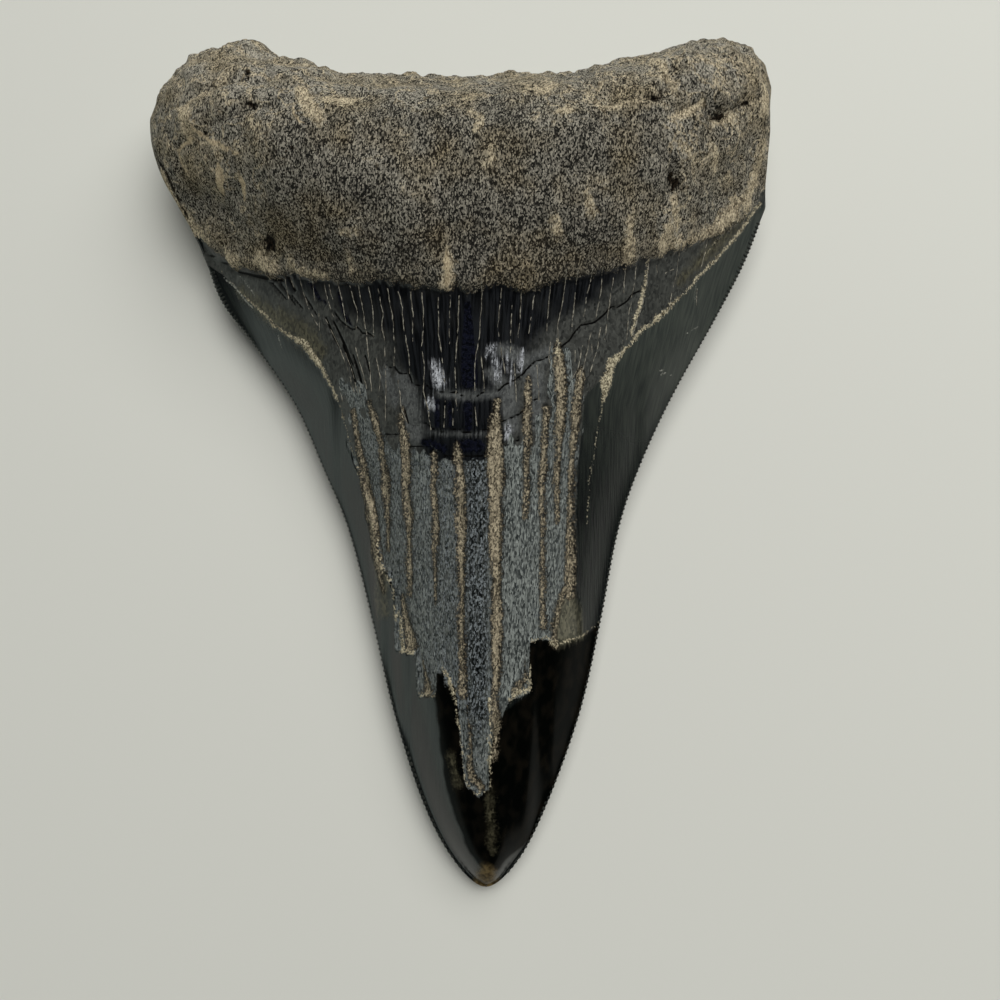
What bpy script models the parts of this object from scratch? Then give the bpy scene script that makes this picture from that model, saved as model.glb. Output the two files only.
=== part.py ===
"""Megalodon tooth, one fossil solid that lies on its flat labial face.

The crown is a loft through cross rows from the tip to the root line, and the root a second
loft from the root line to its arched base. Two fine sheets, lingual and labial, meet in a
rim that carries the serrations of both cutting edges.

Lengths are in millimetres and MM turns them into metres. X runs across the tooth, +Y from
the tip to the root, +Z up. The origin is under the middle of the tooth's box.
A place on a face is given by side, -1 to 1 from left to right, and climb, 0 at the tip,
ROOT_LINE where the root starts and BASE_EDGE at the root's base.
"""

import math

import bmesh
import bpy
from mathutils import Vector, noise

MM = 0.001

# Crown rows from the tip to the root line:
# left x, left y, right x, right y, middle y, cutting edge z, lingual crest z
CROWN = (
    (3.8, -59.25, 3.8, -59.25, -59.25, 1.8, 1.8),
    (-0.2, -56.1, 7.8, -56.1, -56.1, 2.3, 5.3),
    (-4.1, -49.3, 11.5, -49.3, -49.3, 2.8, 7.8),
    (-8.0, -38.6, 15.7, -38.6, -38.6, 3.0, 10.2),
    (-11.1, -27.4, 18.6, -27.4, -27.4, 3.2, 12.0),
    (-14.7, -15.6, 21.3, -15.6, -16.6, 3.5, 13.4),
    (-18.4, -7.3, 24.6, -6.6, -9.6, 3.8, 14.2),
    (-23.1, 2.4, 29.6, 3.6, -3.1, 4.2, 14.9),
    (-29.3, 11.1, 36.3, 15.2, 3.4, 4.6, 15.4),
    (-34.2, 17.4, 41.0, 23.9, 8.2, 4.9, 15.9),
    (-37.0, 23.7, 44.7, 32.7, 12.8, 5.5, 16.5),
)
ROOT_LINE = len(CROWN) - 1
BASE_EDGE = ROOT_LINE + 1

# Root rows: rise from root line to base (0 to 1), left x, right x, edge z, lingual crest z
ROOT = (
    (0.00, -37.0, 44.7, 5.5, 16.5),
    (0.12, -38.0, 44.2, 7.5, 18.6),
    (0.30, -40.1, 44.3, 9.0, 20.8),
    (0.50, -42.6, 44.6, 9.5, 21.6),
    (0.70, -44.4, 45.0, 9.5, 19.8),
    (0.85, -45.3, 45.4, 9.5, 15.8),
    (0.95, -45.7, 45.7, 9.5, 12.2),
    (1.00, -45.8, 45.8, 9.5, 9.5),
)
# The root's arched base from the left lobe's end to the right lobe's: x, y
BASE_HALF_WIDTH = 45.8
BASE = (
    (-45.8, 44.9), (-44.8, 50.3), (-42.6, 54.4), (-39.0, 57.4), (-35.2, 59.0),
    (-31.0, 59.2), (-28.4, 56.4), (-24.4, 54.6), (-20.9, 53.0), (-12.0, 51.8),
    (0.0, 51.7), (10.0, 52.1), (18.1, 52.7), (26.5, 56.0), (33.0, 58.5),
    (38.0, 59.3), (42.5, 58.0), (45.0, 53.9), (45.8, 47.9),
)

ROW_BOW = 1.8  # power by which a row's ends bend towards the root
CROWN_FULLNESS = (2.0, 1.15)  # powers of the lingual cross-section's curve
ROOT_FULLNESS = (4.2, 0.55)
CROWN_FLATNESS = (3.0, 1.0)  # the same for the labial face
ROOT_FLATNESS = (5.0, 0.5)
LABIAL_SINK = 0.3  # how far the labial curve would pass under the resting plane
TIP_ROUNDING = 1.5  # climb over which the labial face turns up to the tip

# Serrations: fine teeth along both cutting edges, up to just below the root
SERRATION_PITCH = 0.7
SERRATION_OUT = 0.12
SERRATION_IN = 0.22
SERRATION_END = 9.7

# Relief of the lingual face
ROOT_LEDGE = 0.5  # the root stands over the dark band beside it
BAND_HOLLOW = 0.4  # the band between root and blade is slightly hollow
BAND_START = 7.4
PEEL_DEPTH = 0.6  # the blade's enamel has flaked off this deep
PEEL_SLOPE = 0.5
PEEL = (
    (-14.9, -1.3), (-13.3, -7.4), (-11.6, -13.6), (-10.2, -20.1), (-8.0, -24.1),
    (-7.9, -31.4), (-5.1, -32.0), (-5.0, -37.1), (-2.5, -37.1), (-2.4, -34.4),
    (-1.3, -34.4), (-1.2, -35.8), (0.1, -36.1), (0.6, -40.9), (1.2, -47.0),
    (2.9, -48.6), (4.6, -47.7), (4.8, -42.6), (6.1, -39.2), (7.0, -37.6),
    (9.1, -36.8), (9.2, -30.8), (12.0, -31.0), (15.2, -30.2), (15.0, -20.4),
    (15.3, -12.9), (16.1, -5.4), (19.0, 3.4), (14.0, 0.9), (9.5, -3.1),
    (5.0, -7.6), (-2.0, -9.1), (-5.0, -5.6), (-9.0, -1.6),
)
NECK_CREASE = 0.5  # crease under the root on the labial face
NECK_WIDTH = 0.12

# Relief of the root
LUMPS = ((14.0, 0.9), (5.5, 0.5))  # wave length, height
# Bumps and pits on the root's lingual face: x, y, radius, height
KNOBS = (
    (-30.5, 52.0, 4.5, 0.9), (-25.5, 50.5, 3.5, 0.7), (-38.0, 46.0, 5.0, 0.5),
    (39.0, 50.0, 5.0, 0.6), (30.0, 46.0, 4.0, 0.5), (-12.0, 46.5, 5.0, 0.4),
    (-23.3, 44.0, 2.4, -1.1), (25.7, 39.5, 2.2, -1.0), (37.3, 40.6, 2.2, -1.0),
    (34.6, 38.0, 2.0, -0.8), (-25.1, 22.2, 2.2, -0.8), (22.5, 25.2, 2.2, -0.8),
    (8.0, 44.0, 2.6, -0.6), (-33.5, 30.0, 3.0, -0.5),
)

# Mesh
LINGUAL_COLUMNS = 52
LABIAL_COLUMNS = 14
CROWN_ROWS = 40
ROOT_ROWS = 15
TIP_START = 0.3  # climb of the sheets' first row
BASE_END = 0.985  # rise of the sheets' last row
SHEET_SIDE = 0.965  # side of the sheets' outer columns
ROOT_RIM_STEP = 2.0
NORMAL_STEP = 0.01


def smooth(low, high, value):
    """0 below low, 1 above high, an even S curve between them."""
    part = min(max((value - low) / (high - low), 0.0), 1.0)
    return part * part * (3.0 - 2.0 * part)


def along(values, at, flat_start=False):
    """Catmull-Rom curve through evenly spaced values, read at a fractional index."""
    last = len(values) - 1
    low = min(max(int(at), 0), last - 1)
    part = min(max(at - low, 0.0), 1.0)
    before = values[low - 1] if low else (values[1] if flat_start else 2 * values[0] - values[1])
    start, end = values[low], values[low + 1]
    after = values[low + 2] if low + 2 <= last else 2 * values[last] - values[last - 1]
    return 0.5 * (
        2 * start
        + (end - before) * part
        + (2 * before - 5 * start + 4 * end - after) * part**2
        + (3 * start - before - 3 * end + after) * part**3
    )


def column(table, index):
    return [row[index] for row in table]


def line_at(points, x):
    """Height of a polyline of (x, y) points, left to right."""
    for (x0, y0), (x1, y1) in zip(points, points[1:]):
        if x <= x1:
            return y0 + (y1 - y0) * (x - x0) / (x1 - x0)
    return points[-1][1]


def root_index(rise):
    """Fractional index of a rise in the ROOT rows."""
    return line_at([(row[0], i) for i, row in enumerate(ROOT)], rise)


def cross_height(side, crown_powers, root_powers, part):
    """0 at the rim to 1 at the middle, part of the way from the crown's curve to the root's."""
    power, blend = [c + (r - c) * part for c, r in zip(crown_powers, root_powers)]
    return max(1.0 - abs(side) ** power, 0.0) ** blend


def crown_place(side, climb):
    """x, y, cutting edge z and crest z of the crown."""
    left_x = along(column(CROWN, 0), climb)
    right_x = along(column(CROWN, 2), climb)
    end_y = along(column(CROWN, 1 if side < 0 else 3), climb, True)
    middle_y = along(column(CROWN, 4), climb, True)
    x = (left_x + right_x) / 2 + (right_x - left_x) / 2 * side
    y = middle_y + (end_y - middle_y) * abs(side) ** ROW_BOW
    return x, y, along(column(CROWN, 5), climb), along(column(CROWN, 6), climb)


def root_place(side, rise):
    """x, y, rim z and crest z of the root."""
    at = root_index(rise)
    left_x = along(column(ROOT, 1), at)
    right_x = along(column(ROOT, 2), at)
    x = (left_x + right_x) / 2 + (right_x - left_x) / 2 * side
    start_y = crown_place(side, ROOT_LINE)[1]
    end_y = line_at(BASE, BASE_HALF_WIDTH * side)
    y = start_y + (end_y - start_y) * rise
    return x, y, along(column(ROOT, 3), at), along(column(ROOT, 4), at)


def lingual(side, climb):
    """The domed upper face, without its relief."""
    rise = max(climb - ROOT_LINE, 0.0)
    x, y, edge, crest = root_place(side, rise) if rise else crown_place(side, climb)
    height = cross_height(side, CROWN_FULLNESS, ROOT_FULLNESS, smooth(0.0, 0.5, rise))
    return Vector((x, y, edge + (crest - edge) * height))


def labial(side, climb):
    """The lower face: flat on the resting plane, rounded up to the cutting edges."""
    rise = max(climb - ROOT_LINE, 0.0)
    x, y, edge, _ = root_place(side, rise) if rise else crown_place(side, climb)
    depth = cross_height(side, CROWN_FLATNESS, ROOT_FLATNESS, smooth(0.0, 0.3, rise))
    depth *= (1.0 - rise**6) ** 0.6
    depth *= 1.0 - max(1.0 - climb / TIP_ROUNDING, 0.0) ** 2
    crease = NECK_CREASE * (1.0 - smooth(0.0, NECK_WIDTH, abs(climb - ROOT_LINE)))
    return Vector((x, y, max(edge - (edge + LABIAL_SINK) * depth, crease)))


def depth_inside(outline, x, y):
    """Distance from a place inside an outline to its edge, negative outside."""
    inside = False
    nearest = math.inf
    for (x0, y0), (x1, y1) in zip(outline, outline[1:] + outline[:1]):
        if (y0 > y) != (y1 > y) and x < x0 + (x1 - x0) * (y - y0) / (y1 - y0):
            inside = not inside
        run_x, run_y = x1 - x0, y1 - y0
        part = ((x - x0) * run_x + (y - y0) * run_y) / (run_x**2 + run_y**2)
        part = min(max(part, 0.0), 1.0)
        nearest = min(nearest, math.hypot(x - x0 - part * run_x, y - y0 - part * run_y))
    return nearest if inside else -nearest


def root_relief(place):
    """Lumps, knobs and pits of the root."""
    height = sum(size * noise.noise(place / length) for length, size in LUMPS)
    for x, y, radius, size in KNOBS:
        height += size * (1.0 - smooth(0.0, radius, math.hypot(place.x - x, place.y - y)))
    return height


def relief(place, climb):
    """How far the lingual face stands out from its smooth form."""
    if climb > ROOT_LINE:
        rise = climb - ROOT_LINE
        return ROOT_LEDGE * (1.0 - smooth(0.3, 0.7, rise)) + root_relief(place) * smooth(0.0, 0.15, rise)
    band = smooth(BAND_START, 9.0, climb)
    peel = smooth(0.0, PEEL_SLOPE, depth_inside(PEEL, place.x, place.y))
    return -BAND_HOLLOW * band - PEEL_DEPTH * peel


def lingual_skin(side, climb):
    """The lingual face with its relief, which fades out at the rim."""
    place = lingual(side, climb)
    across = lingual(side + NORMAL_STEP, climb) - lingual(side - NORMAL_STEP, climb)
    low = max(climb - NORMAL_STEP, 0.0)
    up = lingual(side, min(climb + NORMAL_STEP, BASE_EDGE)) - lingual(side, low)
    normal = across.cross(up).normalized()
    fade = 1.0 - abs(side) ** 12
    return place + normal * relief(place, climb) * fade


def side_climbs(side):
    """Climbs of the rim's points on one side: two to a serration, wider up the root."""
    steps = [BASE_EDGE * i / 800 for i in range(801)]
    lengths = [0.0]
    for low, high in zip(steps, steps[1:]):
        lengths.append(lengths[-1] + (lingual(side, high) - lingual(side, low)).length)
    climbs, reached, at = [], 0.0, 1
    while True:
        serrated = not climbs or climbs[-1] < SERRATION_END
        reached += SERRATION_PITCH / 2 if serrated else ROOT_RIM_STEP
        while at < len(steps) and lengths[at] < reached:
            at += 1
        if at == len(steps) or lengths[-1] - reached < ROOT_RIM_STEP / 2:
            return climbs
        part = (reached - lengths[at - 1]) / (lengths[at] - lengths[at - 1])
        climbs.append(steps[at - 1] + (steps[at] - steps[at - 1]) * part)


def side_rim(side):
    """Rim of one side from tip to root corner, as (turn, place) pairs."""
    rim = []
    for i, climb in enumerate(side_climbs(side)):
        place = lingual(side, climb)
        ahead = lingual(side, min(climb + NORMAL_STEP, BASE_EDGE)) - place
        out = Vector((ahead.y, -ahead.x, 0.0)).normalized() * side
        if climb < SERRATION_END:
            place += out * (-SERRATION_IN if i % 2 else SERRATION_OUT)
        rim.append((1.0 + side * climb / BASE_EDGE, place))
    return rim


def base_rim():
    """Rim along the root's base, from the right corner to the left."""
    sides = [math.cos(math.pi * i / 48) for i in range(49)]
    return [(2.0 + (1.0 - side) / 2, lingual(side, BASE_EDGE)) for side in sides[:-1]]


def whole_rim():
    """Closed rim: left corner, down to the tip, up to the right corner, along the base."""
    left = side_rim(-1)[::-1]
    corner = [(0.0, lingual(-1, BASE_EDGE))]
    return corner + left + [(1.0, lingual(0, 0.0))] + side_rim(1) + base_rim()


def row_climbs():
    crown = [
        TIP_START + (ROOT_LINE - TIP_START) * i / CROWN_ROWS for i in range(CROWN_ROWS + 1)
    ]
    root = [
        ROOT_LINE + BASE_END * math.sin(math.pi / 2 * i / ROOT_ROWS)
        for i in range(1, ROOT_ROWS + 1)
    ]
    return crown + [ROOT_LINE + 0.015] + root


def spread(part, climb):
    """Side of a column: even in the crown, closer towards the sides in the root."""
    wide = 0.8 * smooth(ROOT_LINE, ROOT_LINE + 0.5, climb)
    return SHEET_SIDE * ((1.0 - wide) * part + wide * math.sin(math.pi / 2 * part))


def add_sheet(bm, columns, skin):
    """Grid laid on a face. Returns its border as (turn, vertex) pairs round the tooth."""
    climbs = row_climbs()
    grid = bmesh.ops.create_grid(bm, x_segments=columns, y_segments=len(climbs) - 1, size=1.0)
    verts = sorted(grid["verts"], key=lambda v: (round(v.co.y, 5), v.co.x))
    rows = [verts[i : i + columns + 1] for i in range(0, len(verts), columns + 1)]
    for climb, row in zip(climbs, rows):
        for vert in row:
            side = spread(vert.co.x, climb)
            vert.co = skin(side, climb)
    left = [(1.0 - c / BASE_EDGE, row[0]) for c, row in zip(climbs[::-1], rows[::-1])]
    right = [(1.0 + c / BASE_EDGE, row[-1]) for c, row in zip(climbs, rows)]
    count = len(rows[0])
    tip = [
        (1.0 + (2 * i / (count - 1) - 1) * TIP_START / BASE_EDGE, rows[0][i])
        for i in range(1, count - 1)
    ]
    base = [(2.0 + i / (count - 1), rows[-1][-1 - i]) for i in range(1, count - 1)]
    return left + tip + right + base


def stitch(bm, outer, inner):
    """Triangles between two closed loops of (turn, vertex) pairs with rising turns."""
    i = j = 0
    while i < len(outer) or j < len(inner):
        here, there = outer[i % len(outer)][1], inner[j % len(inner)][1]
        next_outer = outer[i + 1][0] if i + 1 < len(outer) else 3.0
        next_inner = inner[j + 1][0] if j + 1 < len(inner) else 3.0
        if j == len(inner) or (i < len(outer) and next_outer <= next_inner):
            i += 1
            bm.faces.new((here, outer[i % len(outer)][1], there))
        else:
            j += 1
            bm.faces.new((here, inner[j % len(inner)][1], there))


def tooth_mesh():
    bm = bmesh.new()
    rim = [(turn, bm.verts.new(place)) for turn, place in whole_rim()]
    for columns, skin in ((LINGUAL_COLUMNS, lingual_skin), (LABIAL_COLUMNS, labial)):
        stitch(bm, rim, add_sheet(bm, columns, skin))
    bmesh.ops.scale(bm, vec=Vector((MM, MM, MM)), verts=bm.verts)
    bmesh.ops.triangulate(bm, faces=bm.faces)
    bmesh.ops.recalc_face_normals(bm, faces=bm.faces)
    mesh = bpy.data.meshes.new("tooth")
    bm.to_mesh(mesh)
    bm.free()
    return mesh


def fossil_material():
    """Dark grey fossil enamel and root, dull to half glossy."""
    material = bpy.data.materials.new("tooth")
    material.use_nodes = True
    shader = material.node_tree.nodes["Principled BSDF"]
    shader.inputs["Base Color"].default_value = (0.055, 0.052, 0.048, 1.0)
    shader.inputs["Roughness"].default_value = 0.5
    shader.inputs["Metallic"].default_value = 0.0
    return material


def build():
    for old in list(bpy.data.objects):
        bpy.data.objects.remove(old, do_unlink=True)
    collection = bpy.data.collections.new("megalodon_tooth")
    bpy.context.scene.collection.children.link(collection)
    tooth = bpy.data.objects.new("tooth", tooth_mesh())
    tooth.data.materials.append(fossil_material())
    tooth.data.shade_smooth()
    tooth.data.set_sharp_from_angle(angle=math.radians(30))
    collection.objects.link(tooth)


build()
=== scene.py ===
import math

import bmesh
import bpy
import numpy as np
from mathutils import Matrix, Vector, noise


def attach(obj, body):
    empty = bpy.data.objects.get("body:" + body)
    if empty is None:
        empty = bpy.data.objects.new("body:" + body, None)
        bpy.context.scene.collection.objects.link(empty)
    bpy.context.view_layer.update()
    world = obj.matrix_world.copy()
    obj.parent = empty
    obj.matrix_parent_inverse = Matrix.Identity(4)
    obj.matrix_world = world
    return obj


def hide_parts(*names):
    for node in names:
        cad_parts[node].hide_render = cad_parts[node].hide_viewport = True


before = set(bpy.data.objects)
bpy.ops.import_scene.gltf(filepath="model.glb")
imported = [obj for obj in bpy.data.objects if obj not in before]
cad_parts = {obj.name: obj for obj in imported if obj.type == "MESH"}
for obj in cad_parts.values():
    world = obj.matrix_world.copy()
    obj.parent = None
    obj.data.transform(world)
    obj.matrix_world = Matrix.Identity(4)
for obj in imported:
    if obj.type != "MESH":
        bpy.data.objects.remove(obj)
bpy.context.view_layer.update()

# ---------------------------------------------------------------------------------------
# The tooth: one fossil, grown as one piece. A hollow-sided enamel blade runs from the tip
# to the root line, and the thick porous root is the tooth's old bony base. It lies on its
# flat labial face. Sizes here are in millimetres.
# A place on a face is given by side, -1 to 1 from left to right, and climb, 0 at the tip,
# ROOT_LINE where the root starts and BASE_EDGE at the root's base.

MM = 0.001

# Crown rows from the tip to the root line:
# left x, left y, right x, right y, middle y, cutting edge z, lingual crest z
CROWN = np.array((
    (3.8, -59.25, 3.8, -59.25, -59.25, 1.8, 1.8),
    (-0.2, -56.1, 7.8, -56.1, -56.1, 2.3, 5.3),
    (-4.1, -49.3, 11.5, -49.3, -49.3, 2.8, 7.8),
    (-8.0, -38.6, 15.7, -38.6, -38.6, 3.0, 10.2),
    (-11.1, -27.4, 18.6, -27.4, -27.4, 3.2, 12.0),
    (-14.7, -15.6, 21.3, -15.6, -16.6, 3.5, 13.4),
    (-18.4, -7.3, 24.6, -6.6, -9.6, 3.8, 14.2),
    (-23.1, 2.4, 29.6, 3.6, -3.1, 4.2, 14.9),
    (-29.3, 11.1, 36.3, 15.2, 3.4, 4.6, 15.4),
    (-34.2, 17.4, 41.0, 23.9, 8.2, 4.9, 15.9),
    (-37.0, 23.7, 44.7, 32.7, 12.8, 5.5, 16.5),
))
ROOT_LINE = len(CROWN) - 1
BASE_EDGE = ROOT_LINE + 1

# Root rows: rise from root line to base (0 to 1), left x, right x, edge z, lingual crest z
ROOT = np.array((
    (0.00, -37.0, 44.7, 5.5, 16.5),
    (0.12, -38.0, 44.2, 7.5, 18.6),
    (0.30, -40.1, 44.3, 9.0, 20.8),
    (0.50, -42.6, 44.6, 9.5, 21.6),
    (0.70, -44.4, 45.0, 9.5, 19.8),
    (0.85, -45.3, 45.4, 9.5, 15.8),
    (0.95, -45.7, 45.7, 9.5, 12.2),
    (1.00, -45.8, 45.8, 9.5, 9.5),
))
# The root's arched base from the left lobe's end to the right lobe's: x, y
BASE_HALF_WIDTH = 45.8
BASE = np.array((
    (-45.8, 44.9), (-44.8, 50.1), (-42.6, 54.0), (-39.0, 56.8), (-35.2, 57.9),
    (-33.0, 58.0), (-31.0, 58.2), (-29.3, 56.6), (-27.9, 55.4), (-26.7, 54.9),
    (-25.5, 54.9), (-24.0, 54.7), (-22.0, 54.4), (-20.5, 53.0), (-17.2, 52.1),
    (-16.0, 51.7), (-14.8, 52.1), (-12.4, 51.7), (-6.9, 52.3), (-5.5, 51.8),
    (-2.0, 51.7), (0.7, 52.0), (4.5, 52.5), (6.7, 52.8), (11.6, 52.6),
    (15.2, 51.9), (17.4, 52.5), (19.1, 53.3), (21.3, 53.5), (22.7, 53.9),
    (24.9, 54.6), (27.5, 55.6), (30.0, 56.6), (33.0, 58.2), (38.0, 59.3),
    (42.5, 58.3), (45.2, 55.0), (45.8, 50.5),
))
ROW_BOW = 1.8  # power by which a row's ends bend towards the root
CROWN_FULLNESS = (2.0, 1.15)  # powers of the lingual cross-section's curve
ROOT_FULLNESS = (4.2, 0.55)
CROWN_FLATNESS = (3.0, 1.0)  # the same for the labial face
ROOT_FLATNESS = (5.0, 0.5)
LABIAL_SINK = 0.3
TIP_ROUNDING = 1.5
NECK_CREASE = 0.5
NECK_WIDTH = 0.12

# Mesh: the lingual face has all the columns, the flat labial face a sixth of them. Rows
# crowd where the enamel is cracked or broken: share of the rows against climb.
COLUMNS = 300
LABIAL_STEP = 6
ROWS = 272
ROW_SHARE = (0.0, 0.08, 0.34, 0.48, 0.73, 1.0)
ROW_CLIMB = (0.0, 2.0, 4.0, 6.3, ROOT_LINE, BASE_EDGE)
RIM_INSET = 0.05  # the blade stops short of the outline, which the serrations reach


def smooth(low, high, value):
    """0 below low, 1 above high, an even S curve between them."""
    part = np.clip((value - low) / (high - low), 0.0, 1.0)
    return part * part * (3.0 - 2.0 * part)


def along(values, at, flat_start=False):
    """Catmull-Rom curve through evenly spaced values, read at fractional indices."""
    last = len(values) - 1
    first = values[1] if flat_start else 2 * values[0] - values[1]
    padded = np.concatenate(((first,), values, (2 * values[-1] - values[-2],)))
    low = np.clip(at.astype(int), 0, last - 1)
    part = np.clip(at - low, 0.0, 1.0)
    before, start, end, after = (padded[low + i] for i in range(4))
    return 0.5 * (
        2 * start
        + (end - before) * part
        + (2 * before - 5 * start + 4 * end - after) * part**2
        + (3 * start - before - 3 * end + after) * part**3
    )


def cross_height(side, crown_powers, root_powers, part):
    """0 at the rim to 1 at the middle, part of the way from the crown's curve to the root's."""
    power, blend = (c + (r - c) * part for c, r in zip(crown_powers, root_powers))
    return np.clip(1.0 - np.abs(side) ** power, 0.0, 1.0) ** blend


def crown_place(side, climb):
    """x, y, cutting edge z and crest z of the crown."""
    left_x, right_x = along(CROWN[:, 0], climb), along(CROWN[:, 2], climb)
    left_y, right_y = along(CROWN[:, 1], climb, True), along(CROWN[:, 3], climb, True)
    middle_y = along(CROWN[:, 4], climb, True)
    x = (left_x + right_x) / 2 + (right_x - left_x) / 2 * side
    y = middle_y + (np.where(side < 0, left_y, right_y) - middle_y) * np.abs(side) ** ROW_BOW
    return x, y, along(CROWN[:, 5], climb), along(CROWN[:, 6], climb)


def root_place(side, rise):
    """x, y, rim z and crest z of the root."""
    at = np.interp(rise, ROOT[:, 0], np.arange(len(ROOT)))
    left_x, right_x = along(ROOT[:, 1], at), along(ROOT[:, 2], at)
    x = (left_x + right_x) / 2 + (right_x - left_x) / 2 * side
    start_y = crown_place(side, np.full_like(rise, ROOT_LINE))[1]
    end_y = np.interp(BASE_HALF_WIDTH * side, BASE[:, 0], BASE[:, 1])
    return x, start_y + (end_y - start_y) * rise, along(ROOT[:, 3], at), along(ROOT[:, 4], at)


def place_and_heights(side, climb):
    """x, y, rim z and crest z anywhere on the tooth."""
    crown = crown_place(side, np.minimum(climb, ROOT_LINE))
    root = root_place(side, np.clip(climb - ROOT_LINE, 0.0, 1.0))
    return (np.where(climb > ROOT_LINE, r, c) for r, c in zip(root, crown))


def lingual(side, climb):
    """The domed upper face, without its relief, as an array of places."""
    x, y, edge, crest = place_and_heights(side, climb)
    part = smooth(0.0, 0.5, climb - ROOT_LINE)
    height = cross_height(side, CROWN_FULLNESS, ROOT_FULLNESS, part)
    return np.stack((x, y, edge + (crest - edge) * height), -1)


def labial(side, climb):
    """The lower face: flat on the resting plane, rounded up to the cutting edges."""
    x, y, edge, _ = place_and_heights(side, climb)
    rise = np.clip(climb - ROOT_LINE, 0.0, 1.0)
    depth = cross_height(side, CROWN_FLATNESS, ROOT_FLATNESS, smooth(0.0, 0.3, rise))
    depth = depth * (1.0 - rise**6) ** 0.6
    depth = depth * (1.0 - np.clip(1.0 - climb / TIP_ROUNDING, 0.0, 1.0) ** 2)
    crease = NECK_CREASE * (1.0 - smooth(0.0, NECK_WIDTH, np.abs(climb - ROOT_LINE)))
    return np.stack((x, y, np.maximum(edge - (edge + LABIAL_SINK) * depth, crease)), -1)


def spread(part, climb):
    """Side of a column: even in the crown, closer towards the sides in the root."""
    wide = 0.8 * smooth(ROOT_LINE, ROOT_LINE + 0.5, climb)
    return (1.0 - wide) * part + wide * np.sin(math.pi / 2 * part)


# Relief and marks of the lingual face ---------------------------------------------------
# Strokes are lines of points x, y, half width.

ROOT_LEDGE = 0.35
BAND_HOLLOW = 0.4
BAND_START = 7.4
# Where the blade's enamel has flaked off, down to the dentine
PEEL_DEPTH = 0.6
PEEL = (
    (-14.9, -1.3), (-13.3, -7.4), (-11.6, -13.6), (-10.2, -20.1), (-8.0, -24.1),
    (-7.9, -31.4), (-5.1, -32.0), (-5.0, -37.1), (-2.5, -37.1), (-2.4, -34.4),
    (-1.3, -34.4), (-1.2, -35.8), (0.1, -36.1), (0.6, -40.9), (1.2, -47.0),
    (2.9, -48.6), (4.2, -47.7), (4.3, -42.6), (5.8, -39.2), (7.0, -37.6),
    (9.1, -36.8), (9.2, -30.8), (12.0, -30.4), (12.6, -25.6), (15.0, -25.0),
    (15.0, -20.4), (15.3, -12.9), (15.4, -5.4), (15.8, -0.6), (15.4, 2.4),
    (14.2, 5.0), (13.0, 6.0), (11.8, 3.0), (11.6, -2.6), (9.5, -6.1), (5.0, -7.6),
    (3.6, -9.1), (-2.0, -9.1), (-5.0, -7.6), (-8.0, -6.2), (-11.0, -3.6),
    (-12.2, 0.4), (-13.6, 1.4), (-15.4, 2.4),
)
# Jet black enamel of the tip's middle and right, which mirrors next to nothing
JET = (
    (-2.4, -34.0), (-2.6, -37.0), (-2.2, -39.0), (-2.0, -41.0), (-1.8, -43.6), (-1.0, -47.9),
    (-0.1, -51.2), (1.0, -54.0), (2.3, -56.0), (3.3, -57.3), (5.4, -57.2), (14.0, -50.0),
    (22.0, -34.0), (21.0, -27.5), (18.5, -27.7), (15.6, -29.9), (9.2, -30.8), (9.0, -37.0),
    (4.0, -40.0), (0.0, -36.0),
)
# A thin flake of enamel left above the steps on the right
FLAP_DEPTH = 0.25
FLAP = (
    (12.9, -21.0), (14.6, -20.0), (15.4, -22.0), (15.9, -29.7), (12.9, -31.0), (12.2, -30.4),
)
# Lower edge of the dark band between the root and the blade
BAND = (
    (-37.0, 23.5), (-34.0, 21.0), (-29.7, 16.4), (-25.7, 12.3), (-20.6, 8.5),
    (-18.2, 5.2), (-15.3, -0.8), (-13.3, -7.4), (0.0, -12.0), (14.0, -10.0),
    (15.6, -8.0), (16.4, 0.0), (20.3, 4.4), (24.5, 9.9), (30.7, 16.1),
    (34.8, 21.0), (40.3, 27.7), (44.7, 34.0), (44.7, 60.0), (-37.0, 60.0),
)
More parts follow.
